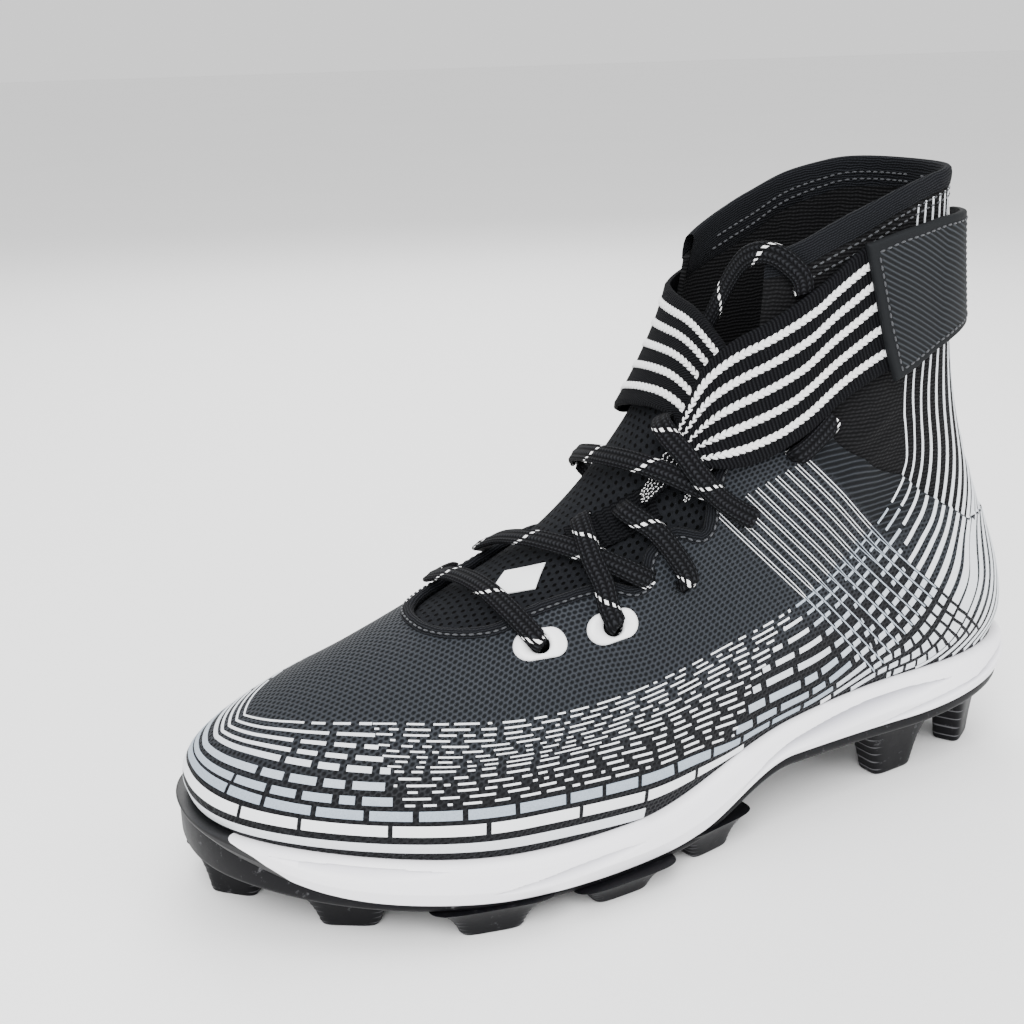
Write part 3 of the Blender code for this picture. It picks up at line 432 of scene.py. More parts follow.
class Finish:
    """A procedural material being put together."""

    def __init__(self, name, **shader):
        self.material = bpy.data.materials.new(name)
        self.material.use_nodes = True
        self.tree = self.material.node_tree
        self.shader = self.tree.nodes["Principled BSDF"]
        for socket, value in shader.items():
            self.shader.inputs[socket.replace("_", " ")].default_value = value

    def add(self, kind, *inputs, **settings):
        """New node; inputs go to its sockets in order, None leaves one as it is."""
        node = self.tree.nodes.new("ShaderNode" + kind)
        for setting, value in settings.items():
            setattr(node, setting, value)
        for socket, value in zip(node.inputs, inputs):
            self.join(value, socket)
        return node

    def join(self, value, socket):
        """Links or sets a socket."""
        if isinstance(value, bpy.types.NodeSocket):
            self.tree.links.new(value, socket)
        elif value is not None:
            socket.default_value = value

    def math(self, operation, a, b=None, c=None, clamp=False):
        return self.add("Math", a, b, c, operation=operation, use_clamp=clamp).outputs[0]

    def uv(self):
        """Distances along and across the piece."""
        parts = self.add("SeparateXYZ", self.add("UVMap", uv_map="skin").outputs[0])
        return parts.outputs[0], parts.outputs[1]

    def tone(self):
        """The piece's tone, point by point; on the foam it also carries the painted shade of the recesses."""
        return self.add("Attribute", attribute_name="tone").outputs["Fac"]

    def objects_place(self):
        return self.add("TexCoord").outputs["Object"]

    def noise(self, place, scale, detail=2.0, rough=0.5):
        node = self.add("TexNoise")
        self.join(place, node.inputs["Vector"])
        node.inputs["Scale"].default_value = scale
        node.inputs["Detail"].default_value = detail
        node.inputs["Roughness"].default_value = rough
        return node.outputs[0]

    def mix(self, share, low, high):
        """Colour between two colours."""
        node = self.add("Mix", data_type="RGBA")
        colors = [socket for socket in node.inputs if socket.type == "RGBA"]
        self.join(share, node.inputs[0])
        for socket, value in zip(colors, (low, high)):
            self.join((*value, 1.0) if isinstance(value, tuple) else value, socket)
        return next(socket for socket in node.outputs if socket.type == "RGBA")

    def color(self, value):
        self.join(value, self.shader.inputs["Base Color"])

    def rough(self, value, low, high):
        """Roughness between two values."""
        node = self.add("MapRange", value, 0.0, 1.0, low, high)
        self.join(node.outputs[0], self.shader.inputs["Roughness"])

    def bump(self, height, distance, strength=1.0):
        """Adds relief of a real depth in metres."""
        before = self.shader.inputs["Normal"]
        node = self.add("Bump")
        node.inputs["Strength"].default_value = strength
        node.inputs["Distance"].default_value = distance
        self.join(height, node.inputs["Height"])
        if before.is_linked:
            self.tree.links.new(before.links[0].from_socket, node.inputs["Normal"])
        self.tree.links.new(node.outputs[0], before)

    def wave(self, coordinate, pitch):
        """Ridges of a pitch in metres, from 0 to 1."""
        turned = self.math("MULTIPLY", coordinate, 2 * math.pi / pitch)
        return self.math("MULTIPLY_ADD", self.math("SINE", turned), 0.5, 0.5)

    def wobble(self, place, scale, size):
        """Small shift in metres that keeps a weave from running dead straight."""
        return self.math("MULTIPLY", self.math("SUBTRACT", self.noise(place, scale, 2), 0.5), size)

    def cell_reach(self, along, across, width, height, stretch=1.0):
        """Distance from the middle of the nearest of staggered cells, as a share of a cell."""
        row = self.math("DIVIDE", across, height)
        odd = self.math("MULTIPLY", self.math("MODULO", self.math("FLOOR", row), 2.0), 0.5)
        column = self.math("ADD", self.math("DIVIDE", along, width), odd)
        dx = self.math("MULTIPLY", self.math("SUBTRACT", self.math("FRACT", column), 0.5), stretch)
        dy = self.math("SUBTRACT", self.math("FRACT", row), 0.5)
        return self.math("SQRT", self.math("ADD", self.math("POWER", dx, 2.0), self.math("POWER", dy, 2.0)))


def settings():
    return bpy.context.scene.cleat


def coated_finish():
    """Charcoal coated mesh: small dimples between threads, ribbed at the heel, dark under the print."""
    look = settings()
    f = Finish("coated_mesh", Roughness=0.65, Specular_IOR_Level=0.12)
    along, across = f.uv()
    place = f.objects_place()
    wobble = f.wobble(place, 90, 0.0007)
    reach = f.cell_reach(f.math("ADD", along, wobble), f.math("ADD", across, wobble), look.cell_width,
                         look.cell_height)
    pit = f.add("MapRange", reach, 0.14, 0.52, 1.0, 0.0, interpolation_type="SMOOTHSTEP").outputs[0]
    tone = f.tone()
    ribbed = f.math("MAXIMUM", tone, 0.0)
    inked = f.math("MAXIMUM", f.math("MULTIPLY", tone, -1.0), 0.0)
    rib = f.wave(f.math("ADD", across, f.math("MULTIPLY", wobble, 1.5)), 0.0019)
    relief = f.add("Mix", ribbed, data_type="FLOAT")
    f.join(f.math("SUBTRACT", 1.0, pit), relief.inputs[2])
    f.join(f.math("POWER", rib, 3.0), relief.inputs[3])
    raised = relief.outputs[0]
    thread = f.noise(place, 900, 3, 0.6)
    base = f.mix(raised, tuple(look.coated_pit), tuple(look.coated_thread))
    worn = f.mix(f.math("MULTIPLY", thread, 0.45), base, (0.003, 0.0035, 0.004))
    f.color(f.mix(f.math("MULTIPLY", inked, 0.85), worn, (0.005, 0.005, 0.006)))
    f.rough(raised, 0.8, 0.5)
    f.bump(thread, 0.00012, 0.5)
    f.bump(raised, 0.00045, 0.9)
    return f.material


def knit_finish(name="ankle_knit", pitch=0.0011, color=(0.006, 0.006, 0.0065)):
    """Black knit with fine wavy ribs."""
    f = Finish(name, Roughness=0.9, Specular_IOR_Level=0.06, Sheen_Weight=0.02, Sheen_Roughness=0.4)
    along, across = f.uv()
    place = f.objects_place()
    wobble = f.wobble(place, 260, 0.0013)
    rib = f.wave(f.math("ADD", across, wobble), pitch)
    loop = f.wave(f.math("ADD", along, wobble), pitch * 1.3)
    cloth = f.math("MULTIPLY", rib, f.math("MULTIPLY_ADD", loop, 0.5, 0.5))
    f.color(f.mix(cloth, tuple(c * 0.45 for c in color), tuple(c * 2.3 for c in color)))
    f.bump(f.noise(place, 1500, 3, 0.6), 0.00008, 0.4)
    f.bump(cloth, 0.00035, 0.8)
    return f.material


def print_finish():
    """Printed bands: white to blue grey over the textile's grain."""
    f = Finish("printed_bands", Roughness=0.5, Specular_IOR_Level=0.45)
    tone = f.tone()
    place = f.objects_place()
    grain = f.noise(place, 2600, 2, 0.6)
    white = f.mix(grain, (0.74, 0.76, 0.79), (0.92, 0.93, 0.94))
    blue = f.mix(grain, (0.17, 0.21, 0.26), (0.42, 0.49, 0.57))
    f.color(f.mix(tone, white, blue))
    f.rough(grain, 0.40, 0.62)
    f.bump(grain, 0.00006, 0.5)
    return f.material


def foam_finish():
    """White moulded foam with a faint lavender cast, with painted shade in its recesses and black at the
    bumper.
    """
    f = Finish("white_foam", Roughness=0.42, Specular_IOR_Level=0.4)
    place = f.objects_place()
    cloud = f.noise(place, 45, 4, 0.6)
    grain = f.noise(place, 1400, 2, 0.5)
    tone = f.tone()
    covered = f.math("GREATER_THAN", tone, 0.0)
    # Painted shade in the midsole's recesses: the deeper the recess, the more the foam is darkened towards
    # grey lavender.
    painted_hollow_shade = f.math("SUBTRACT", f.math("MULTIPLY", tone, -1.0), PAINTED_SHADE_FROM, clamp=True)
    white = f.mix(cloud, (0.88, 0.87, 0.92), (0.95, 0.945, 0.97))
    foam_with_painted_shade = f.mix(f.math("MULTIPLY", painted_hollow_shade, 0.75), white, (0.30, 0.30, 0.36))
    f.color(f.mix(covered, foam_with_painted_shade, (0.005, 0.005, 0.006)))
    f.rough(grain, 0.34, 0.52)
    f.bump(grain, 0.00005, 0.4)
    f.bump(cloud, 0.0003, 0.25)
    return f.material


def rubber_finish():
    """Black moulded rubber with scuffed edges, painted lighter on the studs' rib crests and along the lip's
    edge.
    """
    f = Finish("black_rubber", Roughness=0.45, Specular_IOR_Level=0.12)
    place = f.objects_place()
    scuff = f.noise(place, 260, 6, 0.75)
    scratch = f.add("MapRange", scuff, 0.60, 0.70, 0.0, 1.0).outputs[0]
    pale_marks = f.tone()
    # Painted lighter on the studs' rib crests and, faintly, along the lip's edge.
    ridge = f.math("SUBTRACT", pale_marks, 0.9, clamp=True)
    pale_scuffs_and_crests = f.math("MAXIMUM", f.math("MULTIPLY", scratch, f.math("MINIMUM", pale_marks, 0.8)), ridge)
    f.color(f.mix(pale_scuffs_and_crests, (0.003, 0.003, 0.004), (0.16, 0.16, 0.17)))
    f.rough(scuff, 0.34, 0.6)
    f.bump(scuff, 0.00012, 0.4)
    return f.material


def webbing_finish():
    """Black woven elastic with fine ribs across the strap."""
    f = Finish("black_webbing", Roughness=0.9, Specular_IOR_Level=0.05)
    along, across = f.uv()
    rib = f.wave(across, 0.0011)
    weave = f.wave(along, 0.0007)
    cloth = f.math("MULTIPLY", rib, f.math("MULTIPLY_ADD", weave, 0.4, 0.6))
    f.color(f.mix(cloth, (0.0015, 0.0015, 0.002), (0.010, 0.0105, 0.012)))
    f.bump(cloth, 0.0003, 0.8)
    return f.material


def cord_finish(name, low, high):
    """Braided thread."""
    f = Finish(name, Roughness=0.7, Specular_IOR_Level=0.35, Sheen_Weight=0.2)
    grain = f.noise(f.objects_place(), 1800, 3, 0.6)
    f.color(f.mix(grain, low, high))
    f.bump(grain, 0.00012, 0.6)
    return f.material


def lace_finish():
    """Black braided lace with slanting rows of white flecks."""
    look = settings()
    f = Finish("braided_lace", Roughness=0.82, Specular_IOR_Level=0.08)
    along, around = f.uv()
    grain = f.noise(f.objects_place(), 1600, 3, 0.6)
    rib = f.wave(around, 1 / 12)
    braid = f.wave(f.math("ADD", along, f.math("MULTIPLY", rib, 0.0006)), 0.0013)
    slant = f.math("MULTIPLY_ADD", around, look.fleck_slant, along)
    band = f.math("FRACT", f.math("DIVIDE", slant, look.fleck_pitch))
    near = f.math("LESS_THAN", band, look.fleck_width / look.fleck_pitch)
    cells = f.math("FRACT", f.math("MULTIPLY", around, 12.0))
    fleck = f.math("MULTIPLY", near, f.math("LESS_THAN", cells, 0.5))
    cloth = f.mix(f.math("MULTIPLY", rib, braid), (0.0015, 0.0015, 0.002), (0.019, 0.020, 0.023))
    f.color(f.mix(fleck, cloth, f.mix(grain, (0.80, 0.80, 0.80), (0.95, 0.95, 0.95))))
    f.bump(grain, 0.0001, 0.4)
    f.bump(braid, 0.00012, 0.5)
    f.bump(rib, 0.0004, 0.9)
    return f.material


def plastic_finish():
    """Smooth white plastic of the eyelets."""
    f = Finish("white_plastic", Roughness=0.28, Specular_IOR_Level=0.5)
    cloud = f.noise(f.objects_place(), 120, 3)
    f.color(f.mix(cloud, (0.84, 0.85, 0.87), (0.93, 0.93, 0.94)))
    f.rough(cloud, 0.22, 0.36)
    return f.material


def perforated_finish():
    """Tongue cloth with rows of small holes."""
    f = Finish("perforated_cloth", Roughness=0.9, Specular_IOR_Level=0.06)
    along, across = f.uv()
    reach = f.cell_reach(along, across, 0.0030, 0.0024, stretch=1.25)
    hole = f.add("MapRange", reach, 0.20, 0.30, 1.0, 0.0).outputs[0]
    grain = f.noise(f.objects_place(), 1100, 3)
    cloth = f.mix(grain, (0.004, 0.0045, 0.005), (0.014, 0.015, 0.018))
    f.color(f.mix(hole, cloth, (0.001, 0.001, 0.001)))
    f.bump(grain, 0.0001, 0.5)
    f.bump(f.math("SUBTRACT", 1.0, hole), 0.0006, 0.9)
    return f.material


def patch_finish():
    """Charcoal ribbed textile of the closing patches."""
    f = Finish("ribbed_patch", Roughness=0.7, Specular_IOR_Level=0.12)
    grain = f.noise(f.objects_place(), 900, 3)
    ridge = f.tone()
    cloth = f.mix(ridge, (0.003, 0.0035, 0.004), (0.050, 0.056, 0.064))
    f.color(f.mix(f.math("MULTIPLY", grain, 0.4), cloth, (0.010, 0.011, 0.013)))
    f.bump(grain, 0.00012, 0.5)
    return f.material


@cache
def finish_of(name):
    """The material of a finish, made once."""
    makers = {
        "coated": coated_finish, "knit": knit_finish, "print": print_finish, "foam": foam_finish,
        "rubber": rubber_finish, "webbing": webbing_finish, "lace": lace_finish, "patch": patch_finish,
        "plastic": plastic_finish, "perforated": perforated_finish,
        "lining": lambda: knit_finish("lining_cloth", 0.0016, (0.005, 0.005, 0.006)),
        "binding": lambda: knit_finish("edge_binding", 0.0008, (0.007, 0.0075, 0.009)),
        "rope": lambda: cord_finish("white_rope", (0.60, 0.60, 0.61), (0.90, 0.90, 0.90)),
        "stitch": lambda: cord_finish("charcoal_thread", (0.012, 0.013, 0.016), (0.060, 0.064, 0.072)),
        "pale_stitch": lambda: cord_finish("grey_thread", (0.20, 0.22, 0.25), (0.42, 0.45, 0.49)),
    }
    return makers[name]()


def linked(name, data):
    """New object at the origin, in the scene."""
    obj = bpy.data.objects.new(name, data)
    bpy.context.scene.collection.objects.link(obj)
    return obj


def give(mesh, label, kind, field, values):
    """Gives a mesh an attribute, point by point."""
    attribute = mesh.attributes.new(label, kind, "POINT")
    attribute.data.foreach_set(field, np.asarray(values, np.float32).ravel())


def settled(piece, node=None):
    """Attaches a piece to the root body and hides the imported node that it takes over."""
    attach(piece, "root")
    if node:
        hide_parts(node)


def new_piece(name, points, faces, finish, uv=None, tone=None, merge=0.0, recalc=False, sharp=50):
    """Mesh object at the origin, its UV map and tone given point by point."""
    mesh = bpy.data.meshes.new(name)
    mesh.from_pydata([tuple(p) for p in np.asarray(points, float)], [], [tuple(f) for f in faces])
    if uv is not None:
        layer = mesh.uv_layers.new(name="skin")
        corner = np.zeros(len(mesh.loops), dtype=int)
        mesh.loops.foreach_get("vertex_index", corner)
        layer.data.foreach_set("uv", np.asarray(uv, np.float32)[corner].ravel())
    if tone is not None:
        give(mesh, "tone", "FLOAT", "value", tone)
    if merge or recalc:
        bm = bmesh.new()
        bm.from_mesh(mesh)
        bmesh.ops.remove_doubles(bm, verts=bm.verts, dist=max(merge, 1e-6))
        if recalc:
            bmesh.ops.recalc_face_normals(bm, faces=bm.faces)
        bm.to_mesh(mesh)
        bm.free()
    mesh.shade_smooth()
    mesh.set_sharp_from_angle(angle=math.radians(sharp))
    mesh.materials.append(finish_of(finish))
    return linked(name, mesh)


def thickened(obj, thickness):
    """Gives a sheet its wall, inwards from its outer face."""
    mod = obj.modifiers.new("wall", "SOLIDIFY")
    mod.thickness = thickness
    mod.offset = -1.0
    return applied(obj)


def applied(obj):
    """Bakes the modifiers into the mesh."""
    evaluated = obj.evaluated_get(bpy.context.evaluated_depsgraph_get())
    mesh = bpy.data.meshes.new_from_object(evaluated)
    obj.modifiers.clear()
    obj.data = mesh
    return obj


def quads(rows, cols):
    """Faces of an open grid."""
    base = (np.arange(rows - 1)[:, None] * cols + np.arange(cols - 1)[None, :]).ravel()
    return np.stack([base, base + 1, base + cols + 1, base + cols], axis=1)


def skin_coordinates(points):
    """Distances along and across a grid of points, in metres."""
    along = np.linalg.norm(np.diff(points, axis=1), axis=-1)
    along = np.concatenate([np.zeros((len(points), 1)), np.cumsum(along, axis=1)], axis=1)
    middle = points.shape[1] // 2
    along -= along[:, middle:middle + 1]
    across = np.linalg.norm(np.diff(points, axis=0), axis=-1)
    across = np.concatenate([np.zeros((1, points.shape[1])), np.cumsum(across, axis=0)], axis=0)
    return np.stack([along, across], axis=-1)


def throat_outline():
    """The throat's closed outline from above, its corners rounded."""
    outer = [(t.along * LENGTH, AXIS_OFFSET - t.half * BALL_WIDTH) for t in THROAT]
    inner = [(t.along * LENGTH, AXIS_OFFSET + t.half * BALL_WIDTH) for t in reversed(THROAT)]
    outline = np.array(outer + inner)
    for _ in range(2):
        after = np.roll(outline, -1, axis=0)
        outline = np.stack([outline * 0.78 + after * 0.22, outline * 0.22 + after * 0.78], axis=1)
        outline = outline.reshape(-1, 2)
    return outline


def inside_throat(points):
    """Distance in metres inside the throat's outline, negative outside it."""
    outline = throat_outline()
    after = np.roll(outline, -1, axis=0)
    flat = points[..., :2].reshape(-1, 2)
    away = np.full(len(flat), np.inf)
    inside = np.zeros(len(flat), bool)
    for (x0, y0), (x1, y1) in zip(outline, after):
        dx, dy = x1 - x0, y1 - y0
        t = np.clip(((flat[:, 0] - x0) * dx + (flat[:, 1] - y0) * dy) / (dx * dx + dy * dy + 1e-18), 0, 1)
        away = np.minimum(away, np.hypot(flat[:, 0] - x0 - t * dx, flat[:, 1] - y0 - t * dy))
        crosses = (y0 > flat[:, 1]) != (y1 > flat[:, 1])
        at = x0 + (flat[:, 1] - y0) * dx / (dy if abs(dy) > 1e-12 else 1e-12)
        inside ^= crosses & (flat[:, 0] < at)
    depth = np.where(inside, away, -away)
    depth = np.where(points[..., 2].ravel() > THROAT_LOW, depth, -away - 0.01)
    return depth.reshape(points.shape[:-1])


def lace_holes():
    """Middles and radii of the holes that the lace goes through."""
    places = [(u, v, EYELET_HOLE) for u, v, _ in EYELETS] + [(u, v, PUNCHED_HOLE) for u, v in PUNCHED]
    return [(last(side * u, v), radius) for u, v, radius in places for side, _ in SIDES]


def inside_openings(points):
    """Distance inside the throat or a lace hole."""
    depth = inside_throat(points)
    for centre, radius in lace_holes():
        depth = np.maximum(depth, radius - np.linalg.norm(points - centre, axis=-1))
    return depth


def trimmed(u, v, depth):
    """Cuts the openings out of a grid of (u, v): the moved grid and its faces."""
    u, v = u.copy(), v.copy()
    state = np.where(depth > 0, -1, 1)
    best = np.full(u.shape, np.inf)
    new_u, new_v = u.copy(), v.copy()
    for axis, shift in ((0, 1), (0, -1), (1, 1), (1, -1)):
        near_u, near_v, near_d = (np.roll(a, shift, axis) for a in (u, v, depth))
        t = np.abs(depth) / (np.abs(depth) + np.abs(near_d) + 1e-15)
        valid = (depth > 0) != (near_d > 0)
        edge = [slice(None)] * 2
        edge[axis] = 0 if shift == 1 else -1
        valid[tuple(edge)] = False
        take = valid & (t <= 0.5) & (t < best)
        best[take] = t[take]
        new_u[take] = (u + (near_u - u) * t)[take]
        new_v[take] = (v + (near_v - v) * t)[take]
    state[np.isfinite(best)] = 0
    flat = state.ravel()
    faces = []
    for face in quads(*u.shape):
        s = flat[face]
        if (s == -1).any():
            for k in range(4):
                if s[k] == 1 and s[k - 1] == 0 and s[(k + 1) % 4] == 0:
                    faces.append((face[k - 1], face[k], face[(k + 1) % 4]))
        elif (s == 1).any():
            faces.append(tuple(face))
    return new_u, new_v, faces


def used_only(points, faces, *values):
    """Drops the points that no face uses."""
    used = np.unique(np.concatenate([np.asarray(f) for f in faces]))
    index = np.full(len(points), -1)
    index[used] = np.arange(len(used))
    return (points[used], [tuple(index[list(f)]) for f in faces], *[value[used] for value in values])


def girth_table():
    """Distance round the shoe from the instep, by place along it and angle about its middle."""
    x_steps, turns = 150, 160
    u, v = np.meshgrid(np.linspace(-1, 1, 601), np.linspace(0, TOP, 241))
    place, angle, radius = polar(last(u, v).reshape(-1, 3))
    ranges = [(0, 1), (-math.pi, math.pi)]
    weight = np.histogram2d(place, angle, (x_steps, turns), ranges)[0]
    reach = np.histogram2d(place, angle, (x_steps, turns), ranges, weights=radius)[0]
    middles = (np.arange(turns) + 0.5) / turns * 2 * math.pi - math.pi
    rows = []
    for count, total in zip(weight, reach):
        full = count > 0
        if full.sum() > turns // 4:
            mean = (total / np.maximum(count, 1))[full]
            rows.append(np.interp(middles, middles[full], mean, period=2 * math.pi))
        else:
            rows.append(rows[-1] if rows else np.full(turns, 0.02))
    table = np.array(rows)
    for _ in range(3):
        table = (np.roll(table, 1, 1) + 2 * table + np.roll(table, -1, 1)) / 4
        table[1:-1] = (table[:-2] + 2 * table[1:-1] + table[2:]) / 4
    turn = 2 * math.pi / turns
    step = np.hypot(table, np.gradient(table, turn, axis=1)) * turn
    girth = np.cumsum(step, axis=1)
    return girth - girth[:, turns // 2:turns // 2 + 1]


def polar(points):
    """Share of the length, angle from straight up and radius of points, about the shoe's middle."""
    share = np.clip((points[..., 0] / LENGTH + 0.5), 0, 1)
    middle_z = feather_height(share) + 0.012
    swing = TOE_SWING * soft_step((SWING_FROM + 0.5 - share) / (SWING_FROM - SWING_TO))
    y, z = points[..., 1] - AXIS_OFFSET - swing, points[..., 2] - middle_z
    return share, np.arctan2(y, z), np.hypot(y, z)


def girth_coordinates(points):
    """Distances along the shoe and round it, from the instep in front and the feather edge behind."""
    table = girth_table()

    def girth_at(share, angle):
        row = np.clip(share * len(table) - 0.5, 0, len(table) - 1.001)
        column = np.clip((angle / (2 * math.pi) + 0.5) * table.shape[1] - 0.5, 0, table.shape[1] - 1.001)
        i, j = row.astype(int), column.astype(int)
        a, b = row - i, column - j
        return ((table[i, j] * (1 - a) + table[i + 1, j] * a) * (1 - b)
                + (table[i, j + 1] * (1 - a) + table[i + 1, j + 1] * a) * b)

    share, angle, _ = polar(points)
    girth = girth_at(share, angle)
    for side in (1, -1):
        edge_share, edge_angle, _ = polar(last(np.linspace(0.02, 0.995, 200) * side, 0))
        edge = girth_at(edge_share, edge_angle)
        shift = np.interp(share, edge_share, edge) - np.interp(GIRTH_MEET, edge_share, edge)
        behind = soft_step((share - GIRTH_MEET + 0.10) / 0.20)
        girth = np.where(np.sign(angle) == -side, girth - shift * behind, girth)
    return round_heel(points, np.stack([points[..., 0], girth], axis=-1))


def round_heel(points, coordinates):
    """Carries a grid's coordinates on round the heel's back, by distances along its rows and heights."""
    run = np.abs(skin_coordinates(points)[..., 0])
    columns = points.shape[1]
    outer = int((1 + HEEL_COLUMN) / 2 * (columns - 1))
    for start, part in ((outer, slice(outer, None)), (columns - 1 - outer, slice(0, columns - outer))):
        along = coordinates[:, start, 0][:, None] + run[:, part] - run[:, start][:, None]
        climb = points[:, part, 2] - points[:, start, 2][:, None]
        sign = -np.sign(coordinates[:, start, 1])[:, None]
        coordinates[:, part] = np.stack([along, coordinates[:, start, 1][:, None] + sign * climb], axis=-1)
    return coordinates


def skin_sheet(name, u, v, lift, finish, thickness, coordinates, tone=None):
    """Sheet on the upper with the throat and lace holes cut out."""
    base = last(u, v)
    new_u, new_v, faces = trimmed(u, v, inside_openings(base))
    points = skin(new_u, new_v, np.broadcast_to(lift, u.shape))
    tone = np.zeros(u.shape) if tone is None else tone
    points, faces, uv, tone = used_only(points.reshape(-1, 3), faces, coordinates(base).reshape(-1, 2),
                                        tone.ravel())
    return thickened(new_piece(name, points, faces, finish, uv=uv, tone=tone, merge=1e-6), thickness)


def knit_coordinates(points):
    """Distances round the ankle and heights, in metres."""
    across = skin_coordinates(points)
    across[..., 1] = points[..., 2]
    return across


def edge_level(u):
    """Level of the coated part's edge."""
    return np.interp(np.abs(u), OVERLAY_U, OVERLAY_V)


def make_upper():
    """Coated lower part, knit ankle and collar binding."""
    u = np.linspace(-1, 1, UPPER_COLUMNS)[None, :]
    top = edge_level(u)
    t = np.linspace(0, 1, COATED_ROWS)[:, None]
    u_all, v_all = np.repeat(u, COATED_ROWS, 0), top * t
    border_u, border_v = crossing_place(np.linspace(0, 1, 60), CROSSING_LINES - 1)
    behind = np.abs(u_all) - np.interp(v_all, border_v[::-1], border_u[::-1])
    ribbed = soft_step(behind / 0.01) * (v_all > 1.3)
    line_u, line_v = print_place(np.linspace(0, 12.5, 300), 0.5)
    inked = soft_step((np.interp(np.abs(u_all), line_u, line_v) - v_all) / 1.6)
    inked = np.where(v_all > 4.6, 0.0, inked)
    coated = skin_sheet("upper_coated", u_all, v_all, 0.0, "coated", WALL, girth_coordinates, ribbed - inked)
    t = np.linspace(0, 1, KNIT_ROWS)[:, None]
    v = top - 0.12 + (BINDING_V + 0.04 - top + 0.12) * t
    knit = skin_sheet("upper_knit", np.repeat(u, KNIT_ROWS, 0), v, -KNIT_STEP, "knit", WALL - KNIT_STEP,
                      knit_coordinates)
    binding = make_binding()
    make_throat_edge()
    make_collar_stitches()
    settled(coated, "upper")
    settled(knit)
    settled(binding)


def on_skin(outline):
    """(u, v) of the skin's points seen from above at places (x, y) round the throat."""
    u, v = np.meshgrid(np.linspace(-0.6, 0.6, 241), np.linspace(4.2, 9.0, 193))
    cloud = last(u, v)[..., :2].reshape(-1, 2)
    near = [int(((cloud - place) ** 2).sum(-1).argmin()) for place in outline]
    u, v = u.ravel()[near], v.ravel()[near]
    for _ in range(6):
        along_u, along_v = slopes(u, v)
        gap = outline - last(u, v)[:, :2]
        size = along_u[:, 0] * along_v[:, 1] - along_u[:, 1] * along_v[:, 0]
        size = np.where(np.abs(size) < 1e-5, 1e-5, size)
        u = u + np.clip((gap[:, 0] * along_v[:, 1] - gap[:, 1] * along_v[:, 0]) / size, -0.02, 0.02)
        v = v + np.clip((gap[:, 1] * along_u[:, 0] - gap[:, 0] * along_u[:, 1]) / size, -0.2, 0.2)
    return u, v


def make_throat_edge():
    """Folded edge of the throat with its row of stitches."""
    outline = throat_outline()
    outline = outline[outline[:, 0] < 0.036]
    cut = int(np.hypot(*np.diff(outline, axis=0).T).argmax()) + 1
    outline = np.roll(outline, -cut, axis=0)
    run = run_along(outline)
    u, v = on_skin(sampled(outline, run, np.arange(0, run[-1], EDGE_STEP)))
    below = np.flatnonzero(v < 7.3)
    u, v = u[below[0]:below[-1] + 1], v[below[0]:below[-1] + 1]
    path = last(u, v)
    outward = unit(np.cross(unit(np.gradient(path, axis=0)), skin_normal(u, v)))
    if inside_throat(path + outward * 0.002).mean() > 0:
        outward = -outward
    section = ((-0.0004, -0.0019), (-0.0008, -0.0008), (-0.0005, 0.0003), (0.0004, 0.0008), (0.0014, 0.0008),
               (0.0024, 0.0006), (0.0030, 0.0003), (0.0031, -0.0003))
    places = [moved(u, v, outward * away) for away, _ in section]
    points = np.stack([skin(uu, vv, np.full(len(uu), lift)) for (uu, vv), (_, lift) in zip(places, section)])
    uv = skin_coordinates(points).reshape(-1, 2)
    faces = quads(*points.shape[:2])
    edge = new_piece("throat_edge", points.reshape(-1, 3), faces, "binding", uv=uv, recalc=True)
    edge = thickened(edge, EDGE_THICK)
    settled(edge)
    line_u, line_v = moved(u, v, outward * EDGE_STITCH)
    stitch_row("throat_stitches", line_u, line_v, 0.0009, "stitch")


def make_collar_stitches():
    """Stitch rows under the collar's binding, outside and inside."""
    u = np.linspace(-0.985, 0.985, 500)
    u = u[np.abs(u) > 0.34]
    for number, (level, lift) in enumerate(COLLAR_STITCHES, 1):
        for side, word in SIDES:
            half = u[u * side > 0]
            levels = np.full(len(half), level)
            stitch_row(f"collar_stitches_{word}_{number}", half, levels, lift, "stitch")


def make_binding():
    """Rolled binding of the collar, from the stitched edge over the rim to the lining."""
    u = np.linspace(-1, 1, UPPER_COLUMNS)
    section = ((BINDING_V, -0.0009), (BINDING_V + 0.01, -0.0003), (BINDING_V + 0.10, 0.0000),
               (8.90, 0.0001), (8.97, -0.0001), (9.00, -0.0006), (9.01, -0.0013), (9.00, -0.0019),
               (8.96, -0.0023), (8.88, -0.0024), (8.70, -0.0024), (8.50, -0.0023), (8.48, -0.0018))
    rows = np.array(section)
    uu = np.repeat(u[None, :], len(rows), 0)
    vv = np.repeat(rows[:, :1], len(u), 1)
    points = off(uu, vv, np.repeat(rows[:, 1:], len(u), 1))
    coordinates = skin_coordinates(points)
    new_u, new_v, faces = trimmed(uu, vv, inside_throat(points))
    points = off(new_u, new_v, np.repeat(rows[:, 1:], len(u), 1))
    points, faces, uv = used_only(points.reshape(-1, 3), faces, coordinates.reshape(-1, 2))
    return new_piece("collar_binding", points, faces, "binding", uv=uv, merge=1e-6)


def sole_columns(count):
    """u of every column of a sole loop."""
    return np.linspace(-1, 1, count + 1)[:-1]


def sole_loop(count, outset, height):
    """Closed row round the sole: the feather edge moved out, at heights given point by point."""
    edge = level_points(LEVELS[0], sole_columns(count))
    tangent = unit((np.roll(edge, -1, axis=0) - np.roll(edge, 1, axis=0))[:, :2])
    row = edge.copy()
    row[:, 0] += tangent[:, 1] * outset
    row[:, 1] -= tangent[:, 0] * outset
    row[:, 2] = height
    return row


def sole_shares(count):
    """Share of the sole's length for every column of a sole loop."""
    return column_share(LEVELS[0], np.abs(sole_columns(count)))[0]


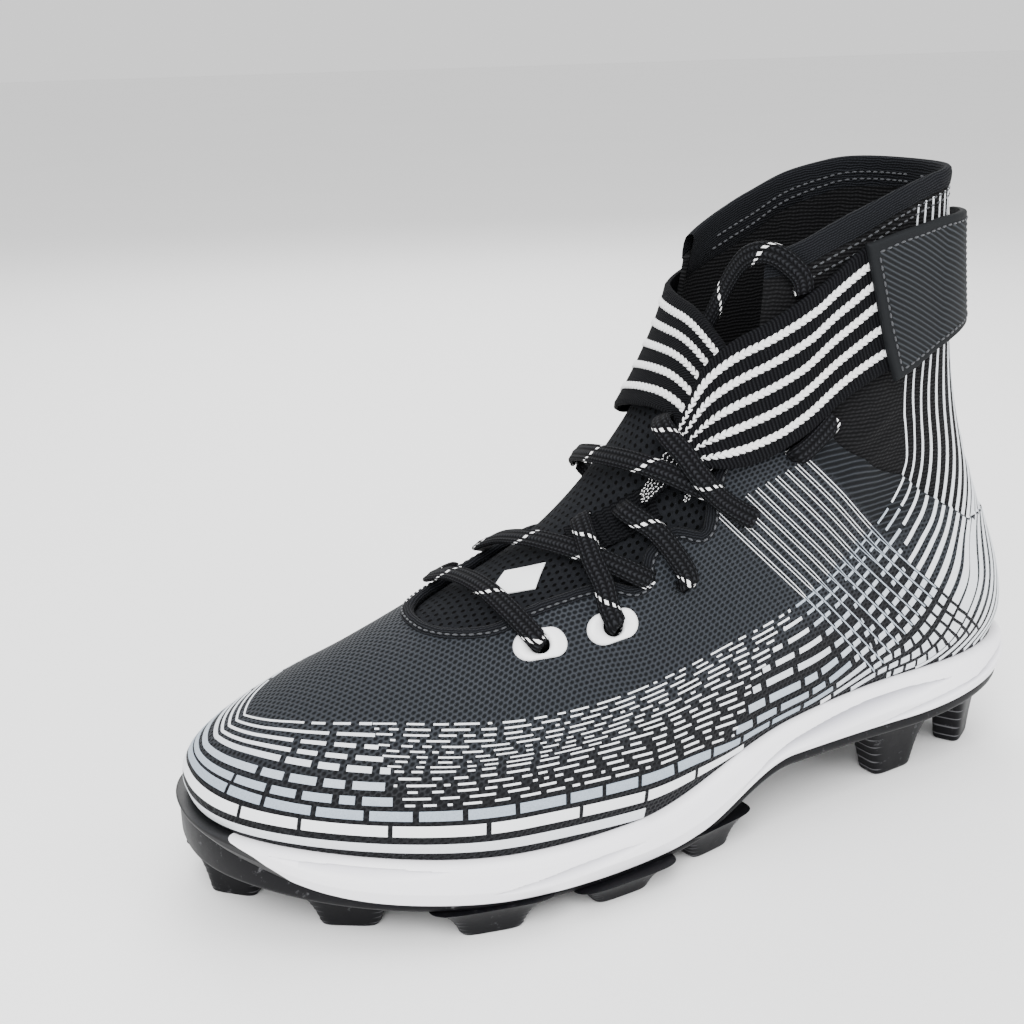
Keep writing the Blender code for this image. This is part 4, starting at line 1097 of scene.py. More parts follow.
def side_values(column, share):
    """A column of the sole's side table at shares of the length."""
    scale = 1.0 if column == "out" else HEEL_HEIGHT
    return blend([s.at for s in SIDE], [getattr(s, column) for s in SIDE], share) * scale


def feather_height(share):
    return blend(RISE_AT, FEATHER, share) * HEEL_HEIGHT


def ring_faces(rows, count):
    """Quads between closed rows."""
    start = (np.arange(rows - 1)[:, None] * count)
    i = np.arange(count)[None, :]
    j = (i + 1) % count
    return np.stack([start + i, start + j, start + count + j, start + count + i], axis=-1).reshape(-1, 4)


def ladder(first, count, upward):
    """Faces across a closed row, rung by rung from toe to heel."""
    half = count // 2
    toe = first + half
    faces = [(toe, toe + 1, toe - 1)]
    faces += [(toe + i, toe + i + 1, toe - i - 1, toe - i) for i in range(1, half - 1)]
    faces.append((first + count - 1, first, first + 1))
    return faces if upward else [tuple(reversed(f)) for f in faces]


def sole_body(loops, count, upward):
    """Points and faces of a closed body of sole loops, each given by its outset and height."""
    points = np.concatenate([sole_loop(count, outset, height) for outset, height in loops])
    faces = [tuple(f) for f in ring_faces(len(loops), count)]
    faces += ladder(0, count, upward) + ladder((len(loops) - 1) * count, count, not upward)
    return points, faces


# Recesses of the midsole's side: ends and middle's rise as (u, share of the side's height), half
# height and depth
Recess = namedtuple("Recess", "u0 t0 u1 t1 bow half deep")
RECESSES = (
    Recess(0.150, 0.80, 0.300, 0.86, -0.10, 0.20, 0.0012),
    Recess(0.330, 0.25, 0.450, 0.60, 0.00, 0.17, 0.0014),
    Recess(0.535, 0.12, 0.790, 0.66, 0.08, 0.27, 0.0026),
    Recess(0.700, 0.02, 0.870, 0.36, 0.04, 0.13, 0.0016),
    Recess(0.810, 0.26, 0.940, 0.80, 0.00, 0.15, 0.0022),
    Recess(0.880, 0.12, 0.990, 0.44, 0.05, 0.11, 0.0016),
)


def carved(u, t):
    """Depth of the midsole's recesses at places round it and at a share of its side's height."""
    depth = np.zeros_like(u)
    for recess in RECESSES:
        s = np.clip((np.abs(u) - recess.u0) / (recess.u1 - recess.u0), 0, 1)
        leaf = 4 * s * (1 - s)
        away = t - recess.t0 - (recess.t1 - recess.t0) * s - recess.bow * leaf
        across = away / (recess.half * leaf + 1e-6)
        depth += recess.deep * leaf**0.5 * soft_step((across + 1) / 1.5) * soft_step((1 - across) / 0.14)
    return depth


def make_midsole():
    """White foam midsole with carved recesses and painted shade in them."""
    u, share = sole_columns(SOLE_COLUMNS), sole_shares(SOLE_COLUMNS)
    out = side_values("out", share)
    floor = side_values("plate", share) + PLATE + GAP
    step = side_values("lip", share) + GAP
    rim = feather_height(share) - GAP
    side = out + MIDSOLE_PROUD
    tall = rim - step
    bulge = SIDE_BULGE * np.clip(tall / FULL_BULGE_TALL, 0, 1)
    rows = [(out - LIP - GAP, floor), (out - LIP - GAP, step), (side - 0.0004, step)]
    heights = [0.0, 0.0, 0.0]
    for t in np.linspace(0, 1, MIDSOLE_ROWS):
        swell = np.interp(t, (0, 0.35, 0.75, 0.96, 1.0), (0, 1, 0.4, 0, 0))
        width = np.interp(t, (0, 0.75, 0.90, 0.97, 1.0), (1, 1, 0.92, 0.70, 0.30))
        depth = carved(u, t) * np.clip(tall / FULL_BULGE_TALL, 0, 1)
        rows.append((side * width + bulge * swell - depth, step + 0.0003 + (tall - 0.0003) * t))
        heights.append(t)
    rows += [(np.full_like(out, -WALL - RIM), rim),
             (np.full_like(out, -WALL - RIM * 2), feather_height(share) - FOOTBED_DEPTH)]
    heights += [1.0, 1.0]
    points, faces = sole_body(rows, SOLE_COLUMNS, upward=False)
    limit = np.interp(np.abs(u), BUMPER_U, BUMPER_TALL)
    tone = limit[None, :] - np.array(heights)[:, None]
    # Painted shade: the depth of the recesses goes into the tone, which darkens the foam there.
    painted_hollow_shade = carved(*np.broadcast_arrays(u[None, :], np.array(heights)[:, None])) / DEEPEST
    tone = np.where(np.abs(u) > BUMPER_U[-1], -PAINTED_SHADE_FROM - painted_hollow_shade, tone)
    midsole = new_piece("midsole_foam", points, faces, "foam", tone=tone.ravel(), recalc=True, sharp=40)
    settled(midsole, "midsole")


def make_insole():
    """Insole on the footbed."""
    share = sole_shares(INSOLE_COLUMNS)
    low = feather_height(share) - FOOTBED_DEPTH + GAP
    edge = np.full_like(share, -WALL - RIM * 2 - INSOLE_CLEAR)
    rows = [(edge, low), (edge, low + INSOLE_THICK * 0.7), (edge - 0.0006, low + INSOLE_THICK * 0.93),
            (edge - 0.0016, low + INSOLE_THICK)]
    points, faces = sole_body(rows, INSOLE_COLUMNS, upward=False)
    insole = new_piece("insole_cloth", points, faces, "lining", uv=points[:, :2], recalc=True)
    settled(insole, "insole")


def between(top, low, s, t):
    """(u, v) at share s along and share t down between two lines given by their end points."""
    high_u, high_v = (top[0][n] + (top[1][n] - top[0][n]) * s for n in (0, 1))
    low_u, low_v = (low[0][n] + (low[1][n] - low[0][n]) * s for n in (0, 1))
    return high_u + (low_u - high_u) * t, high_v + (low_v - high_v) * t


def window(top, low, rows, cols):
    """Grid of (u, v) between two lines given by their end points."""
    return between(top, low, np.linspace(0, 1, cols)[None, :], np.linspace(0, 1, rows)[:, None])


def slab(name, u, v, low, high, finish, tone=None, edge_round=0.0004):
    """Closed piece over a grid of (u, v) between two heights, its edges rounded."""
    rows, cols = u.shape
    inner = off(u, v, high)
    thick = high - low
    under = off(u, v, low)
    shrink = np.zeros((rows, cols))
    shrink[[0, -1], :] = 1
    shrink[:, [0, -1]] = 1
    inner = inner - unit(inner - under) * (shrink * np.minimum(edge_round, thick * 0.4))[..., None]
    points = np.concatenate([under.reshape(-1, 3), inner.reshape(-1, 3)])
    size = rows * cols
    top = quads(rows, cols) + size
    faces = [tuple(f) for f in top] + [tuple(reversed(tuple(f - size))) for f in top]
    border = ([(0, c) for c in range(cols)] + [(r, cols - 1) for r in range(1, rows)]
              + [(rows - 1, c) for c in range(cols - 2, -1, -1)] + [(r, 0) for r in range(rows - 2, 0, -1)])
    ring = [r * cols + c for r, c in border]
    faces += [(k, after, size + after, size + k) for k, after in zip(ring, ring[1:] + ring[:1])]
    coordinates = skin_coordinates(inner).reshape(-1, 2)
    uv = np.concatenate([coordinates, coordinates])
    values = None if tone is None else np.concatenate([tone.ravel(), tone.ravel()])
    return new_piece(name, points, faces, finish, uv=uv, tone=values, recalc=True)


def make_tongue():
    """Perforated tongue, its bare label and the gathered lace keeper."""
    rows, cols = 90, 60
    v = np.linspace(TONGUE[0].v, TONGUE[-1].v, rows)
    places = [t.v for t in TONGUE]
    outer, inner = blend(places, [t.outer for t in TONGUE], v), blend(places, [t.inner for t in TONGUE], v)
    u = inner[:, None] + (outer - inner)[:, None] * np.linspace(0, 1, cols)[None, :]
    high = np.full(u.shape, -WALL - GAP)
    tongue = slab("tongue_cloth", u, np.repeat(v[:, None], cols, 1), high - TONGUE_THICK, high, "perforated")
    u, v = window(LABEL_TOP, LABEL_LOW, 12, 12)
    low = np.full(u.shape, -WALL)
    label = slab("label_tab", u, v, low, low + LABEL_THICK, "plastic")
    u, v = window(KEEPER_TOP, KEEPER_LOW, 60, 90)
    gather = np.sin(np.linspace(0, KEEPER_FOLDS * 2 * math.pi, 90))[None, :] * np.ones((60, 1))
    low = np.full(u.shape, -WALL)
    keeper = slab("keeper_elastic", u, v, low, low + KEEPER_THICK + KEEPER_FOLD * gather, "webbing")
    for piece, node, slot in ((tongue, "tongue", "knit"), (label, "tongue_label", "trim_white"),
                              (keeper, "lace_keeper", "webbing")):
        settled(piece, node)


def strap_grid(folds, per_fold, across):
    """(u, v) and height of a strap's underside over a fine grid."""
    top_u, top_v, low_u, low_v, lift = smooth_route(folds, per_fold).T[..., None]
    t = np.asarray(across)[None, :]
    return top_u + (low_u - top_u) * t, top_v + (low_v - top_v) * t, np.repeat(lift, t.shape[1], 1)


def make_strap(name, node, folds):
    """Woven strap: black webbing with white braided cords along it."""
    look = settings()
    u, v, low = strap_grid(folds, 14, np.linspace(0, 1, 40))
    strap = slab(name, u, v, low, low + STRAP_THICK, "webbing", edge_round=0.0005)
    settled(strap, node)
    places, alongs, normals, scales = [], [], [], []
    for number in range(look.rope_count):
        across = look.rope_first + (1 - 2 * look.rope_first) * number / (look.rope_count - 1)
        u, v, low = strap_grid(folds, 40, [across - 0.01, across, across + 0.01])
        line = off(u[:, 1], v[:, 1], low[:, 1] + STRAP_THICK)
        width = np.linalg.norm(off(u[:, 2], v[:, 2], low[:, 2]) - off(u[:, 0], v[:, 0], low[:, 0]), axis=-1)
        normal = skin_normal(u[:, 1], v[:, 1])
        run = run_along(line)
        steps = np.arange(0, run[-1], look.rope_pitch)
        point, up = sampled(line, run, steps), unit(sampled(normal, run, steps))
        squeeze = np.interp(steps, run, np.clip(width / width[0], 0.25, 1.0))
        ahead = unit(np.gradient(point, axis=0))
        side = np.cross(up, ahead)
        lean = math.radians(LINK_LEAN)
        for sign in (1, -1):
            places.append(point + side * (sign * look.rope_width * LINK_ASIDE * squeeze)[:, None]
                          + ahead * (0.25 * sign * look.rope_pitch))
            alongs.append(unit(ahead * math.cos(lean) - side * sign * math.sin(lean)))
            normals.append(up)
            scales.append(squeeze)
    ropes = repeat_along(name + "_cords", np.concatenate(places), np.concatenate(alongs),
                         np.concatenate(normals), look.rope_pitch * LINK_LONG, look.rope_width * LINK_WIDE,
                         LINK_TALL, "rope", np.concatenate(scales))
    settled(ropes)


def stitch_tree():
    """Geometry nodes that put a rounded stitch on every point, along its direction."""
    tree = bpy.data.node_groups.new("stitches", "GeometryNodeTree")
    face = tree.interface
    face.new_socket("Geometry", in_out="INPUT", socket_type="NodeSocketGeometry")
    for label in ("Length", "Width", "Height"):
        socket = face.new_socket(label, in_out="INPUT", socket_type="NodeSocketFloat")
        socket.default_value = 0.001
    face.new_socket("Thread", in_out="INPUT", socket_type="NodeSocketMaterial")
    face.new_socket("Geometry", in_out="OUTPUT", socket_type="NodeSocketGeometry")
    new = tree.nodes.new
    given, made = new("NodeGroupInput"), new("NodeGroupOutput")
    ball = new("GeometryNodeMeshUVSphere")
    ball.inputs["Segments"].default_value = 8
    ball.inputs["Rings"].default_value = 5
    ball.inputs["Radius"].default_value = 0.5
    size = new("ShaderNodeCombineXYZ")
    for place, label in enumerate(("Length", "Width", "Height")):
        tree.links.new(given.outputs[label], size.inputs[place])
    along, normal, scale = (new("GeometryNodeInputNamedAttribute") for _ in range(3))
    for node, label, kind in ((along, "along", "FLOAT_VECTOR"), (normal, "up", "FLOAT_VECTOR"),
                              (scale, "share", "FLOAT")):
        node.data_type = kind
        node.inputs["Name"].default_value = label
    turn = new("FunctionNodeAxesToRotation")
    turn.primary_axis, turn.secondary_axis = "X", "Z"
    tree.links.new(along.outputs["Attribute"], turn.inputs[0])
    tree.links.new(normal.outputs["Attribute"], turn.inputs[1])
    squeezed = new("ShaderNodeVectorMath")
    squeezed.operation = "SCALE"
    tree.links.new(size.outputs[0], squeezed.inputs[0])
    tree.links.new(scale.outputs["Attribute"], squeezed.inputs["Scale"])
    spread = new("GeometryNodeInstanceOnPoints")
    tree.links.new(given.outputs["Geometry"], spread.inputs["Points"])
    tree.links.new(ball.outputs["Mesh"], spread.inputs["Instance"])
    tree.links.new(turn.outputs[0], spread.inputs["Rotation"])
    tree.links.new(squeezed.outputs[0], spread.inputs["Scale"])
    real, paint = new("GeometryNodeRealizeInstances"), new("GeometryNodeSetMaterial")
    smooth = new("GeometryNodeSetShadeSmooth")
    tree.links.new(spread.outputs[0], real.inputs[0])
    tree.links.new(real.outputs[0], smooth.inputs[0])
    tree.links.new(smooth.outputs[0], paint.inputs[0])
    tree.links.new(given.outputs["Thread"], paint.inputs["Material"])
    tree.links.new(paint.outputs[0], made.inputs[0])
    return tree


def repeat_along(name, points, along, up, length, width, height, finish, share=None):
    """Stitches at points, each along its direction, as one plain mesh."""
    mesh = bpy.data.meshes.new(name)
    mesh.from_pydata([tuple(p) for p in points], [], [])
    give(mesh, "along", "FLOAT_VECTOR", "vector", along)
    give(mesh, "up", "FLOAT_VECTOR", "vector", up)
    give(mesh, "share", "FLOAT", "value", np.ones(len(points)) if share is None else share)
    obj = linked(name, mesh)
    tree = bpy.data.node_groups.get("stitches") or stitch_tree()
    mod = obj.modifiers.new("stitches", "NODES")
    mod.node_group = tree
    sizes = {"Length": length, "Width": width, "Height": height, "Thread": finish_of(finish)}
    for item in tree.interface.items_tree:
        if item.item_type == "SOCKET" and item.in_out == "INPUT" and item.name in sizes:
            mod[item.identifier] = sizes[item.name]
    return applied(obj)


def stitch_row(name, u, v, lift, finish):
    """Row of stitches along a line of (u, v)."""
    look = settings()
    path, normals = skin(u, v, np.full(len(u), float(lift))), skin_normal(u, v)
    run = run_along(path)
    steps = np.arange(look.stitch_pitch / 2, run[-1], look.stitch_pitch)
    ahead = unit(sampled(path, run, steps + STITCH_REACH) - sampled(path, run, steps - STITCH_REACH))
    stitches = repeat_along(name, sampled(path, run, steps), ahead, unit(sampled(normals, run, steps)),
                            look.stitch_pitch * STITCH_LONG, STITCH_WIDE, STITCH_TALL, finish)
    settled(stitches)


def make_straps():
    make_strap("strap_over_webbing", "strap_over", STRAP_OVER)
    make_strap("strap_under_webbing", "strap_under", STRAP_UNDER)


def make_patch(side, word):
    """Ribbed closing patch with a smooth, stitched border."""
    look = settings()
    rows, cols = 116, 130
    s, t = np.meshgrid(np.linspace(0, 1, cols), np.linspace(0, 1, rows))
    u, v = between(PATCH_TOP, PATCH_LOW, s, t)
    place = last(u * side, v)
    edge = np.minimum.reduce([s * PATCH_LONG, (1 - s) * PATCH_LONG, t * PATCH_TALL, (1 - t) * PATCH_TALL])
    slant = (place[..., 0] * 0.55 + place[..., 2]) / look.patch_rib
    rib = (np.sin(slant * 2 * math.pi) * 0.5 + 0.5) ** 5 * (edge > PATCH_BORDER)
    border = (edge < PATCH_BORDER) * 0.05
    lift = np.full(u.shape, PATCH_LIFT)
    high = lift + PATCH_THICK - 0.0005 + PATCH_RIB_DEEP * rib + 0.0005 * soft_step(edge / 0.0006) * 0.8
    patch = slab(f"patch_ribbed_{word}", u * side, v, lift, high, "patch", tone=rib * 0.9 + border)
    settled(patch, f"patch_{word}")
    corners = [between(PATCH_TOP, PATCH_LOW, s, t)
               for s, t in ((0.055, 0.075), (0.945, 0.075), (0.945, 0.925), (0.055, 0.925))]
    border = [np.array(a) + (np.array(b) - np.array(a)) * step
              for a, b in zip(corners, corners[1:] + corners[:1]) for step in np.linspace(0, 1, 30)[:-1]]
    line_u, line_v = np.array(border + border[:1]).T
    stitch_row(f"patch_stitches_{word}", line_u * side, line_v, PATCH_LIFT + PATCH_THICK, "stitch")


def make_patches():
    for side, word in SIDES:
        make_patch(side, word)


def tube(name, path, normals):
    """Flat braided lace along a path, with lengthwise ribs and closed ends."""
    ahead = unit(np.gradient(path, axis=0))
    wide = unit(np.cross(normals, ahead))
    thin = np.cross(ahead, wide)
    angle = np.arange(LACE_SIDES) * 2 * math.pi / LACE_SIDES
    cos, sin = np.cos(angle), np.sin(angle)
    across = np.sign(cos) * np.abs(cos) ** 0.8
    ribbed = 1 - LACE_RIB_DEEP / LACE_THICK * 2 * (1 - np.cos(LACE_RIBS * across * math.pi))
    up = np.sign(sin) * np.abs(sin) ** 0.75 * ribbed
    points = (path[:, None, :] + wide[:, None, :] * (across * LACE_WIDTH / 2)[None, :, None]
              + thin[:, None, :] * (up * LACE_THICK / 2)[None, :, None])
    count, around = len(path), LACE_SIDES + 1
    uv = np.stack([np.repeat(run_along(path)[:, None], around, 1),
                   np.repeat(np.linspace(0, 1, around)[None, :], count, 0)], axis=-1).reshape(-1, 2)
    points = np.concatenate([points, points[:, :1]], axis=1).reshape(-1, 3)
    end = (count - 1) * around
    faces = [tuple(f[::-1]) for f in quads(count, around)]
    faces += [tuple(range(LACE_SIDES)), tuple(range(end + LACE_SIDES - 1, end - 1, -1))]
    return new_piece(name, points, faces, "lace", uv=uv, merge=1e-6, recalc=True)


def lace_path(route, per_span=14):
    """Fine path and skin normals of a lace route."""
    u, v, lift = (np.array([r[n] for r in route]) for n in range(3))
    points = off(u, v, lift)
    return smooth_route(points, per_span), unit(smooth_route(skin_normal(u, v), per_span))


def make_lace(name, route, node=None):
    path, normals = lace_path(route)
    lace = tube(name, path, normals)
    settled(lace, node)
    return lace, path


def make_laces():
    """Crossings through the eyelets, the loose loop and the end under the straps."""
    make_lace("lace_run_front", BAR_FRONT, "lace_front")
    make_lace("lace_run_second", BAR_SECOND, "lace_second")
    make_lace("lace_run_into_second", BAR_INTO_SECOND)
    make_lace("lace_run_third", BAR_THIRD, "lace_third")
    make_lace("lace_run_high", BAR_HIGH, "lace_high")
    make_lace("lace_run_into_fourth", BAR_INTO_FOURTH)
    for name, route, node in (("lace_loose_loop", LOOP, "lace_loop"),
                              ("lace_last_end", END_OUTER, "lace_end_outer")):
        lace, path = make_lace(name, route, node)


def make_eyelet(u, v, turn, name, node):
    """Racetrack eyelet, crowned, with a flared hole."""
    steps = EYELET_SIDES
    angle = np.arange(steps) * 2 * math.pi / steps
    straight = (EYELET_LONG - EYELET_WIDE) / 2
    rim = np.stack([np.cos(angle) * EYELET_WIDE / 2 + np.sign(np.cos(angle)) * straight,
                    np.sin(angle) * EYELET_WIDE / 2], axis=-1)
    hole = np.stack([np.cos(angle), np.sin(angle)], axis=-1) * EYELET_HOLE
    along_u, along_v = slopes(u, v)
    axis_r = unit(along_u)
    axis_n = unit(np.cross(along_u, along_v))
    axis_u = np.cross(axis_n, axis_r)
    a = math.radians(turn)
    right, up = axis_r * math.cos(a) + axis_u * math.sin(a), axis_u * math.cos(a) - axis_r * math.sin(a)
    rows = []
    section = ((0.0, -0.0020), (0.0, 0.0003), (0.03, 0.0008), (0.12, 0.0011), (0.35, 0.0013), (0.7, 0.0012),
               (0.92, 0.0009), (1.0, 0.0004), (1.0, 0.0001))
    for share, lift in section:
        flat = hole + (rim - hole) * share
        step = flat[:, :1] * right + flat[:, 1:] * up
        uu, vv = moved(np.full(steps, float(u)), np.full(steps, float(v)), step)
        rows.append(off(uu, vv, np.full(steps, lift)))
    faces = [tuple(f) for f in ring_faces(len(rows), steps)]
    last_row = (len(rows) - 1) * steps
    faces += [(last_row + i, last_row + (i + 1) % steps, (i + 1) % steps, i) for i in range(steps)]
    eyelet = new_piece(name, np.concatenate(rows), faces, "plastic", recalc=True)
    settled(eyelet, node)


def make_eyelets():
    for number, (u, v, turn) in enumerate(EYELETS, 1):
        for side, word in SIDES:
            make_eyelet(side * u, v, side * turn, f"eyelet_ring_{word}_{number}", f"eyelet_{word}_{number}")


# Studs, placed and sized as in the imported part: centre as shares of LENGTH and BALL_WIDTH, root and
# tip in metres, turn in degrees
Stud = namedtuple("Stud", "along across root_long root_wide tip_long tip_wide turn")
STUDS = (
    Stud(-0.452, 0.075, 0.021, 0.014, 0.014, 0.009, -40), Stud(-0.440, 0.290, 0.021, 0.014, 0.014, 0.009, 34),
    Stud(-0.362, -0.210, 0.028, 0.017, 0.016, 0.009, -28), Stud(-0.342, 0.395, 0.026, 0.016, 0.015, 0.009, 8),
    Stud(-0.242, -0.400, 0.029, 0.017, 0.017, 0.009, -9), Stud(-0.235, 0.370, 0.027, 0.016, 0.016, 0.009, 0),
    Stud(-0.102, -0.400, 0.028, 0.017, 0.017, 0.009, 6), Stud(-0.105, 0.335, 0.027, 0.016, 0.016, 0.009, -6),
    Stud(0.019, -0.315, 0.024, 0.015, 0.014, 0.008, 14), Stud(0.012, 0.275, 0.024, 0.015, 0.014, 0.008, -12),
    Stud(0.305, -0.150, 0.029, 0.017, 0.016, 0.009, 8), Stud(0.305, 0.235, 0.029, 0.017, 0.016, 0.009, -8),
    Stud(0.428, -0.065, 0.022, 0.015, 0.013, 0.009, 36), Stud(0.428, 0.155, 0.022, 0.015, 0.013, 0.009, -36),
)
STUD_ROOT = 0.0012
STUD_RIBS = 5
PLATE_ROUND = 0.0020


def plate_height(x):
    """Height of the outsole's lower face at a place along the shoe."""
    share = (np.asarray(x) / LENGTH - LEVELS[0].toe) / (LEVELS[0].heel - LEVELS[0].toe)
    return side_values("plate", np.clip(share, 0, 1))


def stud_rows(stud):
    """Closed rows of a flared stud with fine ribs on its ends, root to tip, and their tone: painted lighter
    on the rib crests, scuffed most at the tip.
    """
    angle = np.arange(STUD_SIDES) * 2 * math.pi / STUD_SIDES + math.pi / STUD_SIDES
    cos, sin = np.cos(angle), np.sin(angle)
    flat = np.stack([np.sign(cos) * np.abs(cos) ** 0.42, np.sign(sin) * np.abs(sin) ** 0.42], axis=-1)
    turn = math.radians(stud.turn)
    centre = np.array([stud.along * LENGTH, stud.across * BALL_WIDTH])
    top = float(plate_height(centre[0])) + STUD_ROOT
    rows, pale_marks = [], []
    for t in np.linspace(0, 1, STUD_ROWS):
        flare = 0.5 * (1 - t) + 0.5 * (1 - t) ** 3.5
        long = stud.tip_long + (stud.root_long * 1.22 - stud.tip_long) * flare
        wide = stud.tip_wide + (stud.root_wide * 1.08 - stud.tip_wide) * flare
        rib = max(0.0, math.cos((t - 0.2) / 0.7 * STUD_RIBS * 2 * math.pi)) ** 8 * (0.22 < t < 0.92)
        long += 0.0004 * rib
        tip_round = 0.0007 * (1 - math.sqrt(max(0.0, 1 - (max(0.0, t - 0.95) / 0.05) ** 2)))
        size = np.array([long, wide]) / 2 - tip_round
        x, y = (flat * size).T
        rows.append(np.stack([centre[0] + x * math.cos(turn) - y * math.sin(turn),
                              centre[1] + x * math.sin(turn) + y * math.cos(turn),
                              np.full(STUD_SIDES, top * (1 - t))], axis=-1))
        pale_marks.append(np.clip(np.abs(cos) * rib * 2.2, 0, 1.45) + (0.3 if t < 0.93 else 0.8))
    return np.concatenate(rows), np.concatenate(pale_marks)


def make_outsole():
    """Black plate with its lip and the fourteen studs."""
    share = sole_shares(SOLE_COLUMNS)
    out, low, lip = (side_values(column, share) for column in ("out", "plate", "lip"))
    loops = [(out - LIP, low + PLATE), (out - LIP, lip - 0.0004), (out - LIP + 0.0004, lip),
             (out - 0.0005, lip), (out - 0.0001, lip - 0.0002), (out, lip - 0.0006)]
    for t in np.linspace(0, 1, 7):
        a = t * math.pi / 2
        loops.append((out - PLATE_ROUND * (1 - math.cos(a)), low + PLATE_ROUND * (1 - math.sin(a))))
    plate, faces = sole_body(loops, SOLE_COLUMNS, upward=True)
    points = [plate]
    pale_marks = [np.repeat([0.0, 0.3, 1.0, 1.0, 1.0, 0.5] + [0.35] * 7, SOLE_COLUMNS)]
    total = len(plate)
    for stud in STUDS:
        body, worn = stud_rows(stud)
        end = total + STUD_ROWS * STUD_SIDES
        faces += [tuple(f + total) for f in ring_faces(STUD_ROWS, STUD_SIDES)]
        faces += [tuple(range(total + STUD_SIDES - 1, total - 1, -1)), tuple(range(end - STUD_SIDES, end))]
        points.append(body)
        pale_marks.append(worn)
        total += len(body)
    outsole = new_piece("outsole_rubber", np.concatenate(points), faces, "rubber", tone=np.concatenate(pale_marks),
                        recalc=True, sharp=42)
    settled(outsole, "outsole")


# The print's rows: (u, level) of rows 0, 4, 7, 8, 10 and 14 at stations from the toe to the collar's
# back, and the share of its pitch that a row fills at rows 0, 7 and 10
Guide = namedtuple("Guide", "u0 v0 u4 v4 u7 v7 u8 v8 u10 v10 u14 v14 fill0 fill7 fill10")
GUIDES = (
    *(Guide(u, v0, u, v4, u, v7, u, v8, u, v10, u, -2.0, 0.24, 0.64, 0.62) for u, v0, v4, v7, v8, v10 in (
        (0.000, 2.86, 2.36, 1.68, 1.24, -0.30), (0.050, 3.03, 2.45, 1.68, 1.22, -0.30),
        (0.100, 3.20, 2.52, 1.65, 1.18, -0.30), (0.190, 3.43, 2.56, 1.56, 1.15, -0.20),
        (0.310, 3.49, 2.58, 1.52, 1.12, -0.10))),
    Guide(0.400, 3.53, 0.400, 2.50, 0.400, 1.42, 0.400, 1.02, 0.400, -0.20, 0.400, -2.0, 0.24, 0.62, 0.60),
    Guide(0.500, 3.72, 0.498, 2.32, 0.496, 1.20, 0.495, 0.68, 0.492, -0.60, 0.480, -2.5, 0.24, 0.62, 0.60),
    Guide(0.555, 3.68, 0.560, 1.98, 0.560, 0.60, 0.560, 0.15, 0.575, -0.90, 0.600, -2.6, 0.22, 0.60, 0.60),
    Guide(0.582, 3.70, 0.620, 1.88, 0.625, 0.42, 0.632, 0.05, 0.655, -0.45, 0.710, -1.8, 0.20, 0.56, 0.60),
    Guide(0.606, 3.78, 0.663, 2.13, 0.688, 1.14, 0.695, 0.82, 0.710, 0.09, 0.765, -1.2, 0.18, 0.48, 0.62),
    Guide(0.645, 3.99, 0.698, 2.57, 0.722, 1.52, 0.733, 1.18, 0.757, 0.40, 0.830, -0.7, 0.16, 0.44, 0.68),
    Guide(0.688, 4.32, 0.735, 3.04, 0.765, 2.25, 0.776, 2.00, 0.800, 1.47, 0.885, 0.40, 0.16, 0.46, 0.72),
    Guide(0.714, 4.58, 0.762, 3.40, 0.795, 2.74, 0.806, 2.54, 0.826, 2.05, 0.925, 1.30, 0.18, 0.50, 0.74),
    Guide(0.733, 4.94, 0.790, 3.84, 0.824, 3.32, 0.835, 3.18, 0.856, 2.95, 0.962, 2.40, 0.19, 0.46, 0.68),
    Guide(0.733, 5.41, 0.812, 4.86, 0.876, 4.44, 0.898, 4.33, 0.940, 4.12, 0.998, 3.90, 0.19, 0.36, 0.50),
    Guide(0.694, 6.71, 0.798, 6.05, 0.884, 5.62, 0.910, 5.52, 0.950, 5.40, 1.000, 5.20, 0.18, 0.30, 0.40),
    Guide(0.672, 8.20, 0.790, 8.10, 0.872, 8.10, 0.898, 8.10, 0.940, 8.10, 1.000, 8.10, 0.18, 0.28, 0.34),
    Guide(0.668, 8.68, 0.786, 8.68, 0.868, 8.68, 0.894, 8.68, 0.938, 8.68, 1.000, 8.68, 0.18, 0.28, 0.34),
)
GUIDE_ROWS = np.array([0, 4, 7, 8, 10, 14])
AT_QUARTER = 8.6        # stations where bricks give way to unbroken lines
AT_HEEL = 12.6


def print_place(s, row):
    """(u, v) of the print at station s and row."""
    s, row = np.broadcast_arrays(np.asarray(s, float), np.asarray(row, float))
    table = np.array(GUIDES)[:, :12]
    spans = 40
    fine = smooth_route(table, spans)
    at = np.linspace(0, len(GUIDES) - 1, len(fine))
    column = np.stack([np.interp(s, at, fine[:, n]) for n in range(12)])
    k = np.clip(np.searchsorted(GUIDE_ROWS, row, side="right") - 1, 0, len(GUIDE_ROWS) - 2)
    t = (row - GUIDE_ROWS[k]) / (GUIDE_ROWS[k + 1] - GUIDE_ROWS[k])
    pick = [np.take_along_axis(column, (2 * k + n)[None], 0)[0] for n in range(4)]
    return pick[0] + (pick[2] - pick[0]) * t, pick[1] + (pick[3] - pick[1]) * t


def row_fill(s, row):
    """Share of the pitch that a row fills at station s."""
    fills = [np.interp(s, np.arange(len(GUIDES)), [g[n] for g in GUIDES]) for n in (12, 13, 14)]
    share = np.clip(row / 7, 0, 1)
    return fills[0] + (fills[1] - fills[0]) * share + (fills[2] - fills[1]) * np.clip((row - 7) / 3, 0, 1)


